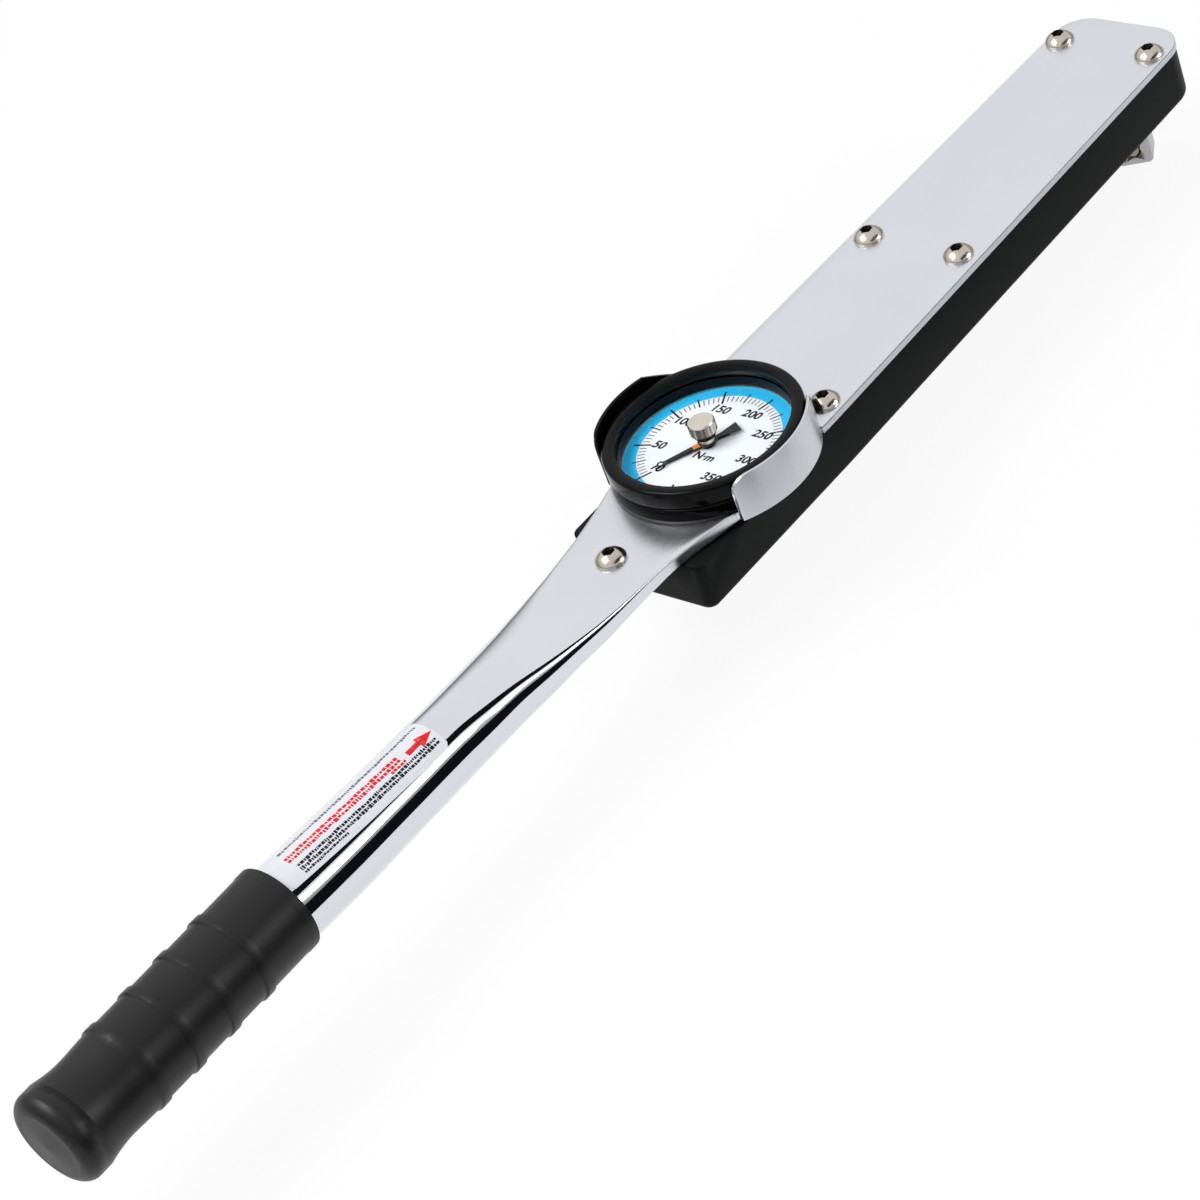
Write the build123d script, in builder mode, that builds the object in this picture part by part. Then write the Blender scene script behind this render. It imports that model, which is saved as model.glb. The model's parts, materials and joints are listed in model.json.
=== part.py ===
from build123d import *
from math import acos, cos, degrees, pi, radians, sin, sqrt, tan
import os

os.makedirs("parts", exist_ok=True)

# Dial torque wrench with a half-inch square drive, in millimetres.
# +X runs from the handle to the head, +Z is the dial side, and the origin is the
# middle of the drive square's end face, so the drive axis is the Z axis.

# Drive square and the detent in it
square_side = 12.7
square_length = 15.5
square_corner_radius = 1.3
square_end_chamfer = 1.2
square_turn = 31.0
ball_radius = 2.7
ball_height = 6.4
ball_sink = 1.4
ball_travel = 1.2
detent_depth = 9.5
detent_wire = 0.45

# Housing: plate above, cover below
boss_drop = 9.4
boss_radius = 13.2
housing_depth = 22.4
head_end = 14.0
head_half_width = 24.8
dial_half_width = 28.0
full_width_lead = 30.0
head_corner_radius = 12.0
rear_corner_radius = 4.0
plate_thickness = 3.0
plate_bevel = 0.5
cover_wall = 2.5
cover_rear_gap = 0.5
cover_inset = 0.35
cover_edge_radius = 2.5
roof_thickness = 2.2
roof_length = 19.0

# Screws that hold the plate to the cover, M6 button heads
screw_thread_radius = 3.0
screw_head_radius = 5.25
screw_rim = 0.8
screw_head_height = 3.3
screw_socket = 4.0
screw_socket_depth = 2.0
screw_length = 14.0
screw_boss_radius = 4.3
screw_half_spacing = 19.2
head_screw_x = -2.0
middle_screw_x = -120.0
dial_screw_gap = 0.42
dial_screw_half_spacing = 21.4
neck_screw_reach = 12.0
nut_across_flats = 10.0
nut_height = 5.0

# Neck and tube
neck_thickness = 5.0
neck_offset = 18.0
neck_length = 46.0
neck_start_half_width = 26.6
neck_end_half_width = 16.2
neck_edge_radius = 1.0
shoulder_length = 76.0
tube_drop = 1.2
tube_front_radius = 12.1
tube_grip_radius = 13.3
tube_bore_radius = 10.2
tube_bore_length = 160.0
bare_tube_length = 77.0

# Grip
grip_length = 92.0
grip_radius = 15.3
grip_ring_radius = 15.9
grip_ring_width = 4.0
grip_ring_pitch = 15.4
grip_ring_count = 4
first_ring_offset = 21.9
grip_waist_radius = 14.9
grip_flare_radius = 16.2
grip_flare_length = 9.5
end_cap_length = 10.0
end_cap_round = 5.0
cap_spigot_length = 14.0

# Dial
dial_distance = 234.0
crystal_radius = 31.5
rim_step = 0.9
case_shoulder = 2.1
case_height = 5.2
case_floor = 2.0
rim_wall = 1.4
spigot_radius = 21.0
spigot_depth = 4.6
ring_nut_wall = 3.8
ring_nut_height = 2.3
bezel_wall = 1.8
bezel_bottom = 5.9
bezel_top = 12.3
bezel_lip = 1.8
crystal_thickness = 1.0
dial_face_height = 4.2
dial_plate_thickness = 0.5
crystal_gap = 3.8
spacer_flange = 0.9
spacer_wall = 1.0
trim_ring_width = 0.6
rim_height = 1.6
guard_play = 0.4
guard_thickness = 1.1
near_guard_height = 13.4
far_guard_height = 15.2
guard_rear = 21.4
guard_front = 23.4
guard_corner_radius = 5.5

# Drive head, measuring beam and anchor
spindle_radius = 9.0
bush_wall = 1.55
washer_thickness = 0.8
hub_radius = 14.0
hub_base = 1.5
hub_front_x = 10.4
beam_height = 7.6
beam_end_half_width = 10.5
beam_half_width = 8.5
waist_radius = 5.0
beam_front_x = 6.9
beam_rear_gap = 1.1
hub_web = 1.6
pin_radius = 1.6
anchor_offset = 28.5
anchor_depth = 13.5
anchor_half_width = 13.0
tongue_length = 21.0
tongue_half_width = 11.0

# Indicator movement: toothed sector on the arm, pinion on the pointer shaft
gear_module = 0.3
pinion_teeth = 16
sector_teeth = 27
pressure_angle = 20.0
tooth_addendum = 0.24
tooth_dedendum = 0.33
tooth_thickness_share = 0.42
arm_thickness = 1.6
arm_half_width_hub = 6.0
arm_half_width_tip = 3.0
arm_ring_radius = 11.5
sector_rim = 5.5
fan_depth = 22.5
bridge_thickness = 1.1
bridge_gap = 0.25
bridge_post_x = 8.0
bridge_post_y = 18.5
bridge_post_radius = 3.0
bridge_screw_radius = 1.25
bridge_screw_head = 2.4
arm_screw_radius = 1.5
arm_screw_head = 2.6
pivot_radius = 0.8
lower_bush_radius = 1.8
shaft_radius = 1.2
upper_bush_radius = 2.6
shaft_top_radius = 1.0
collet_radius = 2.0
collet_height = 1.6
spring_wire = 0.22
spring_gap = 0.75
spring_turns = 5
spring_height = 0.9
stud_radius = 0.65

# Pointers and the reset knob
zero_direction = 150.0
pointer_length = 20.6
loop_place = 17.0
loop_radius = 1.25
tail_start = 5.0
tail_end = 11.2
stem_radius = 2.7
dial_hole_radius = 2.4
knob_radius = 4.65
knob_height = 4.2
knob_top = 14.0
pointer_sheet = 0.3

# Clearances
running = 0.05
snug = 0.02
hole_play = 0.25

# Heights worked out from the sizes above
floor_z = square_length + boss_drop + 0.7
plate_top = floor_z + housing_depth
plate_under = plate_top - plate_thickness
inside_z = floor_z + cover_wall
hub_z = inside_z + washer_thickness
beam_z = hub_z + hub_base
beam_top = beam_z + beam_height
hub_top = beam_top + hub_web
arm_z = hub_top
arm_top = arm_z + arm_thickness
tube_z = plate_top - tube_drop
neck_under = plate_top - neck_thickness
dial_x = -dial_distance
pitch_radius_pinion = gear_module * pinion_teeth / 2
pitch_radius_sector = dial_distance - pitch_radius_pinion
dial_face = plate_top + dial_face_height
crystal_z = dial_face + crystal_gap
crystal_top = crystal_z + crystal_thickness
bezel_z = plate_top + bezel_bottom
bezel_top_z = plate_top + bezel_top


# Radii of the dial's rings, from the crystal outwards
rim_radius = crystal_radius + rim_step
case_radius = rim_radius + case_shoulder
bezel_radius = rim_radius + bezel_wall
bezel_lip_radius = crystal_radius - bezel_lip
dial_opening_radius = bezel_lip_radius - trim_ring_width
guard_inner_radius = case_radius + guard_play
ring_nut_radius = spigot_radius + ring_nut_wall

# Places along the tool, from the dial to the grip's end
widest_x = dial_x + full_width_lead
dial_screw_reach = case_radius + screw_head_radius + dial_screw_gap
dial_screw_x = dial_x + sqrt(dial_screw_reach**2 - dial_screw_half_spacing**2)
anchor_front_x = dial_x - anchor_offset
anchor_rear_x = anchor_front_x - anchor_depth
beam_rear_x = anchor_rear_x + beam_rear_gap
tongue_end_x = anchor_rear_x - tongue_length
neck_screw_x = anchor_rear_x - neck_screw_reach
cover_end_x = anchor_rear_x - cover_rear_gap - cover_wall
neck_start_x = dial_x - neck_offset
neck_end_x = neck_start_x - neck_length
tube_start_x = neck_end_x - shoulder_length
grip_front_x = tube_start_x - bare_tube_length
tube_end_x = grip_front_x - grip_length


def half_width(x):
    """Half the housing's width: it widens evenly from the head to the dial."""
    share = (head_end - x) / (head_end - widest_x)
    return head_half_width + (dial_half_width - head_half_width) * min(share, 1.0)


def outline(inset, rear_x):
    """Corner points of the housing's plan, drawn in by the inset."""
    front = head_end - inset
    points = [
        (front, half_width(front) - inset),
        (widest_x, dial_half_width - inset),
        (rear_x, dial_half_width - inset),
    ]
    return points + [(x, -y) for x, y in reversed(points)]


def pair(x, half_spacing=screw_half_spacing):
    """The two screw places at x, either side of the middle."""
    return [(x, half_spacing), (x, -half_spacing)]


def across(x, z):
    """A plane across the tool at x, centred at a height, its own X along +Y."""
    return Plane(origin=(x, 0, z), x_dir=(0, 1, 0), z_dir=(1, 0, 0))


plate_screws = {
    "head_screws": pair(head_screw_x),
    "middle_screws": pair(middle_screw_x),
    "dial_side_screws": pair(dial_screw_x, dial_screw_half_spacing),
}
screw_points = [place for places in plate_screws.values() for place in places]

# Frame: the chromed plate, the flattened neck and the hollow tube are one forging.
with BuildPart() as handle_frame:
    with BuildSketch(Plane.XY.offset(plate_under)):
        with BuildLine():
            Polyline(*outline(0, neck_start_x), close=True)
        make_face()
        with Locations((dial_x, 0)):
            Circle(guard_inner_radius - running)
    extrude(amount=plate_thickness)
    head_corners = handle_frame.edges().filter_by(Axis.Z).group_by(Axis.X)[-1]
    fillet(head_corners, head_corner_radius)
    top_rim = handle_frame.faces().sort_by(Axis.Z)[-1].outer_wire().edges()
    chamfer(top_rim.filter_by(lambda e: e.center().X > neck_start_x + 1), plate_bevel)
    # The neck narrows behind the dial at one thickness.
    for share, taper in ((0, 1.0), (0.22, 0.77), (0.43, 0.5), (0.72, 0.21), (1, 0)):
        half = neck_end_half_width + taper * (neck_start_half_width - neck_end_half_width)
        with BuildSketch(across(neck_start_x - share * neck_length, plate_top - neck_thickness / 2)):
            RectangleRounded(2 * half, neck_thickness, neck_edge_radius)
    loft()
    # Then it thickens, narrows and rises into the round tube.
    # Each section's shares: along the shoulder, and of the way to the tube in half width,
    # in top and in depth, then its corner radius as a share of the half depth.
    tube_top = tube_z + tube_front_radius
    for share, narrowing, rise, growth, roundness in (
        (0, 0, 0, 0, 2 * neck_edge_radius / neck_thickness),
        (0.18, 0.44, 0.15, 0.24, 0.54),
        (0.5, 0.8, 0.66, 0.72, 0.79),
        (0.79, 0.975, 0.935, 0.95, 0.95),
    ):
        half = neck_end_half_width + narrowing * (tube_front_radius - neck_end_half_width)
        top = plate_top + rise * (tube_top - plate_top)
        depth = neck_thickness + growth * (2 * tube_front_radius - neck_thickness)
        with BuildSketch(across(neck_end_x - share * shoulder_length, top - depth / 2)):
            RectangleRounded(2 * half, depth, roundness * depth / 2)
    with BuildSketch(across(tube_start_x, tube_z)):
        Circle(tube_front_radius)
    loft()
    # A step in the plate's edge takes the foot of each guard.
    with BuildSketch(Plane.XY.offset(neck_under - 1)):
        with Locations((dial_x + (guard_front - guard_rear) / 2, 0)):
            Rectangle(guard_front + guard_rear + 2 * running, 4 * guard_inner_radius)
        with Locations((dial_x, 0)):
            Circle(guard_inner_radius - running, mode=Mode.SUBTRACT)
    extrude(amount=2 * neck_thickness, mode=Mode.SUBTRACT)
    with BuildSketch(Plane.XZ):
        with BuildLine():
            Polyline(
                (tube_start_x, tube_z),
                (tube_start_x, tube_z + tube_front_radius),
                (grip_front_x, tube_z + tube_grip_radius),
                (tube_end_x, tube_z + tube_grip_radius),
                (tube_end_x, tube_z),
                close=True,
            )
        make_face()
    revolve(axis=Axis((0, 0, tube_z), (1, 0, 0)))
    with BuildSketch(Plane.XZ):
        with BuildLine():
            Polyline(
                (tube_end_x, tube_z),
                (tube_end_x, tube_z + tube_bore_radius),
                (tube_end_x + tube_bore_length, tube_z + tube_bore_radius),
                (tube_end_x + tube_bore_length + tube_bore_radius / 2, tube_z),
                close=True,
            )
        make_face()
    revolve(axis=Axis((0, 0, tube_z), (1, 0, 0)), mode=Mode.SUBTRACT)
    with Locations(*[(x, y, plate_top) for x, y in screw_points + [(neck_screw_x, 0)]]):
        Hole(screw_thread_radius + hole_play, depth=3 * plate_thickness)
    with Locations((dial_x, 0, plate_top)):
        Hole(spigot_radius + hole_play, depth=2 * plate_thickness)
    with Locations((dial_x, 0, plate_under)):
        Hole(ring_nut_radius + hole_play, depth=neck_thickness)
handle_frame.part.label = "handle_frame"
export_step(handle_frame.part, "parts/handle_frame.step")

# Guards: two pressed walls welded to the plate's round edge, one each side of the dial.
for side, guard_name, guard_height, slope_run, slope_drop in (
    (-1, "near_guard", near_guard_height, 0.8, 0.8),
    (1, "far_guard", far_guard_height, 12.0, 6.0),
):
    guard_top = plate_top + guard_height
    with BuildPart() as guard:
        with BuildSketch(Plane.XY.offset(plate_under)):
            with Locations((dial_x, 0)):
                Circle(guard_inner_radius + guard_thickness)
                Circle(guard_inner_radius, mode=Mode.SUBTRACT)
        extrude(amount=guard_height + plate_thickness)
        with BuildSketch(Plane.XZ) as guard_side:
            with BuildLine():
                Polyline(
                    (dial_x - guard_rear, plate_under),
                    (dial_x - guard_rear, guard_top),
                    (dial_x + guard_front - slope_run, guard_top),
                    (dial_x + guard_front, guard_top - slope_drop),
                    (dial_x + guard_front, plate_under),
                    close=True,
                )
            make_face()
            fillet(
                guard_side.vertices().group_by(Axis.X)[0].sort_by(Axis.Y)[-1],
                guard_corner_radius,
            )
        extrude(amount=-side * 2 * guard_inner_radius, mode=Mode.INTERSECT)
    guard.part.label = guard_name
    export_step(guard.part, f"parts/{guard_name}.step")

# Bottom cover: a moulded tray with screw bosses, the drive boss and a roofed rear end.
roof_top = neck_under - hole_play
bush_radius = spindle_radius + running + bush_wall
bridge_z = beam_top + bridge_gap
bridge_screw_x = dial_x - bridge_post_x
post_points = [(bridge_screw_x, bridge_post_y), (bridge_screw_x, -bridge_post_y)]
with BuildPart() as bottom_cover:
    with BuildSketch(Plane.XY.offset(floor_z)):
        with BuildLine():
            Polyline(*outline(cover_inset, cover_end_x), close=True)
        make_face()
    extrude(amount=plate_under - floor_z)
    upright = bottom_cover.edges().filter_by(Axis.Z)
    fillet(upright.group_by(Axis.X)[-1], head_corner_radius - cover_inset)
    fillet(bottom_cover.edges().filter_by(Axis.Z).group_by(Axis.X)[0], rear_corner_radius)
    fillet(bottom_cover.faces().sort_by(Axis.Z)[0].edges(), cover_edge_radius)
    with BuildSketch(Plane.XY.offset(inside_z)) as tray_plan:
        with BuildLine():
            Polyline(*outline(cover_inset + cover_wall, cover_end_x + cover_wall), close=True)
        make_face()
        fillet(tray_plan.vertices().group_by(Axis.X)[-1], head_corner_radius - cover_wall)
    extrude(amount=housing_depth, mode=Mode.SUBTRACT)
    # The rear end is lower than the plate, and roofed on both sides of the anchor block.
    with BuildSketch(Plane.XY.offset(roof_top)):
        with Locations((neck_start_x + hole_play, 0)):
            Rectangle(dial_distance, 4 * dial_half_width, align=(Align.MAX, Align.CENTER))
    extrude(amount=housing_depth, mode=Mode.SUBTRACT)
    with BuildSketch(Plane.XY.offset(roof_top)):
        with Locations((cover_end_x + cover_wall, 0)):
            Rectangle(
                roof_length - cover_wall,
                2 * (dial_half_width - cover_inset - cover_wall / 2),
                align=(Align.MIN, Align.CENTER),
            )
    extrude(amount=-roof_thickness)
    with BuildSketch(Plane.XY.offset(roof_top)):
        with Locations((cover_end_x + cover_wall, 0)):
            Rectangle(
                2 * roof_length,
                2 * (anchor_half_width + hole_play),
                align=(Align.MIN, Align.CENTER),
            )
    extrude(amount=-roof_thickness, mode=Mode.SUBTRACT)
    with BuildSketch(Plane.XY.offset(beam_top - hole_play)):
        with Locations((cover_end_x, 0)):
            Rectangle(4 * cover_wall, 2 * (tongue_half_width + hole_play))
    extrude(amount=housing_depth, mode=Mode.SUBTRACT)
    with BuildSketch(Plane.XY.offset(inside_z)):
        with Locations(*screw_points):
            Circle(screw_boss_radius)
    extrude(amount=plate_under - inside_z)
    with BuildSketch(Plane.XY.offset(plate_under)):
        with Locations(*screw_points):
            Circle(screw_thread_radius + snug)
    extrude(amount=-(screw_length - plate_thickness + 1), mode=Mode.SUBTRACT)
    with BuildSketch(Plane.XY.offset(inside_z)):
        with Locations(*post_points):
            Circle(bridge_post_radius)
    extrude(amount=bridge_z - inside_z)
    with BuildSketch(Plane.XY.offset(bridge_z)):
        with Locations(*post_points):
            Circle(bridge_screw_radius + snug)
    extrude(amount=-5, mode=Mode.SUBTRACT)
    with BuildSketch(Plane.XY.offset(floor_z - boss_drop)):
        Circle(boss_radius)
    extrude(amount=boss_drop)
    boss_edge = bottom_cover.faces().sort_by(Axis.Z)[0].edges()
    chamfer(boss_edge, 1.0)
    with BuildSketch(Plane.XY.offset(floor_z - boss_drop)):
        Circle(bush_radius + snug)
    extrude(amount=boss_drop + cover_wall, mode=Mode.SUBTRACT)
bottom_cover.part.label = "bottom_cover"
export_step(bottom_cover.part, "parts/bottom_cover.step")

# Bronze bush pressed into the cover's boss, and the washer the hub turns on.
with BuildPart() as drive_bush:
    with BuildSketch(Plane.XY.offset(floor_z - boss_drop)):
        Circle(bush_radius)
        Circle(spindle_radius + running, mode=Mode.SUBTRACT)
    extrude(amount=boss_drop + cover_wall)
drive_bush.part.label = "drive_bush"
export_step(drive_bush.part, "parts/drive_bush.step")

with BuildPart() as thrust_washer:
    with BuildSketch(Plane.XY.offset(inside_z)):
        Circle(hub_front_x + running)
        Circle(spindle_radius + running, mode=Mode.SUBTRACT)
    extrude(amount=washer_thickness - running)
thrust_washer.part.label = "thrust_washer"
export_step(thrust_washer.part, "parts/thrust_washer.step")

# Drive head: square, spindle and slotted hub in one piece, with the detent hole.
ball_axis = Plane.XY.rotated((0, 0, square_turn)).x_dir * -1
ball_centre = ball_axis * (square_side / 2 - ball_sink) + Vector(0, 0, ball_height)
detent_mouth = Plane(
    origin=ball_axis * (square_side / 2) + Vector(0, 0, ball_height), z_dir=ball_axis
)
pin_points = [(-7.0, 6.0), (-7.0, -6.0)]
arm_screw_points = [(-2.5, 7.5), (-2.5, -7.5), (6.0, 0)]
with BuildPart() as drive_head:
    with BuildSketch() as square_end:
        Rectangle(square_side, square_side, rotation=square_turn)
        fillet(square_end.vertices(), square_corner_radius)
    extrude(amount=square_length)
    chamfer(drive_head.faces().sort_by(Axis.Z)[0].edges(), square_end_chamfer)
    with BuildSketch(Plane.XY.offset(square_length)):
        Circle(spindle_radius)
    extrude(amount=hub_z - square_length)
    with BuildSketch(Plane.XY.offset(hub_z)):
        Circle(hub_radius)
        with Locations((hub_front_x, 0)):
            Rectangle(
                hub_radius,
                2 * hub_radius,
                align=(Align.MIN, Align.CENTER),
                mode=Mode.SUBTRACT,
            )
    extrude(amount=hub_top - hub_z)
    with BuildSketch(Plane.XY.offset(beam_z)):
        with Locations((beam_front_x + running, 0)):
            Rectangle(
                2 * hub_radius + beam_front_x,
                2 * (beam_end_half_width + running),
                align=(Align.MAX, Align.CENTER),
            )
    extrude(amount=beam_height, mode=Mode.SUBTRACT)
    with BuildSketch(Plane.XY.offset(hub_top)):
        with Locations(*pin_points):
            Circle(pin_radius + snug)
    extrude(amount=-(hub_top - hub_z - 0.4), mode=Mode.SUBTRACT)
    with Locations(*[(x, y, hub_top) for x, y in arm_screw_points]):
        Hole(arm_screw_radius + snug, depth=2 * hub_web)
    with BuildSketch(detent_mouth):
        Circle(ball_radius + running)
    extrude(amount=-detent_depth, mode=Mode.SUBTRACT)
drive_head.part.label = "drive_head"
export_step(drive_head.part, "parts/drive_head.step")

with BuildPart() as detent_ball:
    with Locations(ball_centre):
        Sphere(ball_radius)
detent_ball.part.label = "detent_ball"
export_step(detent_ball.part, "parts/detent_ball.step")

# Detent spring: a short coil between the hole's end and the back of the ball.
coil_radius = ball_radius - 3 * detent_wire / 2
coil_back = square_side / 2 - detent_depth + detent_wire
ball_contact = sqrt((ball_radius + detent_wire / 2 + running) ** 2 - coil_radius**2)
coil_length = square_side / 2 - ball_sink - ball_contact - coil_back
coil_start = ball_axis * coil_back + Vector(0, 0, ball_height)
with BuildPart() as detent_spring:
    with BuildLine() as coil:
        Helix(
            pitch=coil_length / 4,
            height=coil_length,
            radius=coil_radius,
            center=coil_start,
            direction=ball_axis,
        )
    with BuildSketch(coil.line ^ 0):
        RegularPolygon(detent_wire / 2, 6)
    sweep(path=coil.line, is_frenet=True)
detent_spring.part.label = "detent_spring"
export_step(detent_spring.part, "parts/detent_spring.step")

# Measuring beam: the flat steel bar that bends under load, waisted between its two ends.
with BuildPart() as measuring_beam:
    with BuildSketch(Plane.XY.offset(beam_z + snug)) as beam_plan:
        with BuildLine():
            beam_side = [
                (beam_front_x, beam_end_half_width),
                (-hub_radius - 2, beam_end_half_width),
                (-hub_radius - 8, beam_half_width),
                (anchor_front_x + 8, beam_half_width),
                (anchor_front_x + 2, beam_end_half_width),
                (beam_rear_x, beam_end_half_width),
            ]
            Polyline(*beam_side, *[(x, -y) for x, y in reversed(beam_side)], close=True)
        make_face()
        waist = beam_plan.vertices().filter_by(lambda v: anchor_front_x < v.X < -hub_radius)
        fillet(waist, waist_radius)
    extrude(amount=beam_height - 2 * snug)
    anchor_pin_points = [(anchor_front_x - 6.5, 6.0), (anchor_front_x - 6.5, -6.0)]
    with Locations(*[(x, y, beam_top) for x, y in pin_points + anchor_pin_points]):
        Hole(pin_radius + running, depth=2 * beam_height)
measuring_beam.part.label = "measuring_beam"
export_step(measuring_beam.part, "parts/measuring_beam.step")

with BuildPart() as beam_pins:
    with BuildSketch(Plane.XY.offset(hub_z + 0.4 + snug)):
        with Locations(*pin_points):
            Circle(pin_radius)
    extrude(amount=hub_top - hub_z - 0.4 - 2 * snug)
beam_pins.part.label = "beam_pins"
export_step(beam_pins.part, "parts/beam_pins.step")

# Anchor block: clamps the beam's rear end, its tongue bolted up against the neck.
with BuildPart() as anchor_block:
    with BuildSketch(Plane.XY.offset(inside_z + snug)):
        with Locations((anchor_front_x, 0)):
            Rectangle(
                anchor_front_x - anchor_rear_x,
                2 * anchor_half_width,
                align=(Align.MAX, Align.CENTER),
            )
    extrude(amount=neck_under - inside_z - 2 * snug)
    with BuildSketch(Plane.XY.offset(beam_top)):
        with Locations((anchor_rear_x + 1, 0)):
            Rectangle(
                anchor_rear_x + 1 - tongue_end_x,
                2 * tongue_half_width,
                align=(Align.MAX, Align.CENTER),
            )
    extrude(amount=neck_under - beam_top - snug)
    fillet(anchor_block.edges().filter_by(Axis.Z).group_by(Axis.X)[0], 4.0)
    with BuildSketch(Plane.XY.offset(beam_z)):
        with Locations((beam_rear_x - running, 0)):
            Rectangle(
                4 * anchor_half_width,
                2 * (beam_end_half_width + running),
                align=(Align.MIN, Align.CENTER),
            )
    extrude(amount=beam_height, mode=Mode.SUBTRACT)
    with Locations((neck_screw_x, 0, neck_under)):
        Hole(screw_thread_radius + snug, depth=housing_depth)
    with Locations(*[(x, y, neck_under) for x, y in anchor_pin_points]):
        Hole(pin_radius + snug, depth=neck_under - inside_z - 2)
anchor_block.part.label = "anchor_block"
export_step(anchor_block.part, "parts/anchor_block.step")

with BuildPart() as anchor_pins:
    with BuildSketch(Plane.XY.offset(inside_z + 2 + snug)):
        with Locations(*anchor_pin_points):
            Circle(pin_radius)
    extrude(amount=neck_under - inside_z - 2 - 3 * snug)
anchor_pins.part.label = "anchor_pins"
export_step(anchor_pins.part, "parts/anchor_pins.step")


head_curve = (screw_head_radius**2 + (screw_head_height - screw_rim) ** 2) / (
    2 * (screw_head_height - screw_rim)
)
screw_groups = [(name, places, screw_length) for name, places in plate_screws.items()]
screw_groups.append(("neck_screw", [(neck_screw_x, 0)], plate_top - beam_top + nut_height))
for screw_name, screw_places, shank in screw_groups:
    with BuildPart(mode=Mode.PRIVATE) as one_screw:
        with BuildSketch(Plane.XZ):
            with BuildLine():
                Polyline(
                    (0, -shank),
                    (screw_thread_radius, -shank),
                    (screw_thread_radius, 0),
                    (screw_head_radius, 0),
                    (screw_head_radius, screw_rim),
                )
                RadiusArc(
                    (screw_head_radius, screw_rim), (0, screw_head_height), -head_curve
                )
                Line((0, screw_head_height), (0, -shank))
            make_face()
        revolve(axis=Axis.Z)
        with BuildSketch(Plane.XY.offset(screw_head_height)):
            RegularPolygon(screw_socket / 2, 6, major_radius=False)
        extrude(amount=-screw_socket_depth, mode=Mode.SUBTRACT)
    with BuildPart() as screws:
        with Locations(*[(x, y, plate_top) for x, y in screw_places]):
            add(one_screw.part)
    screws.part.label = screw_name
    export_step(screws.part, f"parts/{screw_name}.step")

with BuildPart() as neck_nut:
    with BuildSketch(Plane.XY.offset(beam_top - snug)):
        with Locations((neck_screw_x, 0)):
            RegularPolygon(nut_across_flats / 2, 6, major_radius=False)
            Circle(screw_thread_radius + snug, mode=Mode.SUBTRACT)
    extrude(amount=-nut_height)
neck_nut.part.label = "neck_nut"
export_step(neck_nut.part, "parts/neck_nut.step")

# Indicator arm: a light plate on the hub whose rear end is a toothed sector.
pitch = pi * gear_module
tooth_step = pitch / pitch_radius_sector
slope = tan(radians(pressure_angle))
half_tooth = pitch * tooth_thickness_share / 2
sector_tip = pitch_radius_sector + tooth_addendum
sector_root = pitch_radius_sector - tooth_dedendum
sector_half_angle = degrees(tooth_step * sector_teeth / 2)


def polar(radius, angle):
    """A point at a radius and an angle in radians from the -X direction."""
    return (-radius * cos(angle), radius * sin(angle))


fan_start = fan_depth - sector_root
with BuildPart() as indicator_arm:
    with BuildSketch(Plane.XY.offset(arm_z)) as arm_plan:
        Circle(arm_ring_radius)
        with Locations((hub_front_x, 0)):
            Rectangle(arm_ring_radius, 4 * arm_ring_radius, align=(Align.MIN, Align.CENTER),
                      mode=Mode.SUBTRACT)
        with BuildLine():
            Polyline(
                (0, arm_half_width_hub),
                (fan_start, arm_half_width_tip),
                (fan_start, -arm_half_width_tip),
                (0, -arm_half_width_hub),
                close=True,
            )
        make_face()
        # The fan: two spokes that open out to the toothed rim
        with BuildLine():
            rim_half = radians(sector_half_angle)
            rim_low = polar(sector_root, -rim_half)
            rim_high = polar(sector_root, rim_half)
            Line((fan_start + 1, arm_half_width_tip), rim_high)
            ThreePointArc(rim_high, (-sector_root, 0), rim_low)
            Line(rim_low, (fan_start + 1, -arm_half_width_tip))
            Line((fan_start + 1, -arm_half_width_tip), (fan_start + 1, arm_half_width_tip))
        make_face()
        with BuildLine():
            inner = sector_root - sector_rim
            window_half = rim_half * 0.42
            Line((fan_start - 5, 0.8), polar(inner, window_half))
            ThreePointArc(polar(inner, window_half), (-inner, 0), polar(inner, -window_half))
            Line(polar(inner, -window_half), (fan_start - 5, -0.8))
            Line((fan_start - 5, -0.8), (fan_start - 5, 0.8))
        make_face(mode=Mode.SUBTRACT)
        for number in range(sector_teeth):
            middle = (number - (sector_teeth - 1) / 2) * tooth_step
            root_half = (half_tooth + tooth_dedendum * slope) / sector_root
            tip_half = (half_tooth - tooth_addendum * slope) / sector_tip
            with BuildLine():
                Polyline(
                    polar(sector_root - 0.1, middle - root_half),
                    polar(sector_root, middle - root_half),
                    polar(sector_tip, middle - tip_half),
                    polar(sector_tip, middle + tip_half),
                    polar(sector_root, middle + root_half),
                    polar(sector_root - 0.1, middle + root_half),
                    close=True,
                )
            make_face()
    extrude(amount=arm_thickness)
    with Locations(*[(x, y, arm_top) for x, y in arm_screw_points]):
        Hole(arm_screw_radius + snug, depth=2 * arm_thickness)
indicator_arm.part.label = "indicator_arm"
export_step(indicator_arm.part, "parts/indicator_arm.step")

with BuildPart() as arm_screws:
    with BuildSketch(Plane.XY.offset(arm_top)):
        with Locations(*arm_screw_points):
            Circle(arm_screw_head)
    extrude(amount=1.4)
    with BuildSketch(Plane.XY.offset(arm_top + 1.4)):
        with Locations(*arm_screw_points):
            RegularPolygon(1.0, 6, major_radius=False)
    extrude(amount=-0.8, mode=Mode.SUBTRACT)
    with BuildSketch(Plane.XY.offset(arm_top)):
        with Locations(*arm_screw_points):
            Circle(arm_screw_radius)
    extrude(amount=-(arm_thickness + hub_web - running))
arm_screws.part.label = "arm_screws"
export_step(arm_screws.part, "parts/arm_screws.step")

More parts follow.
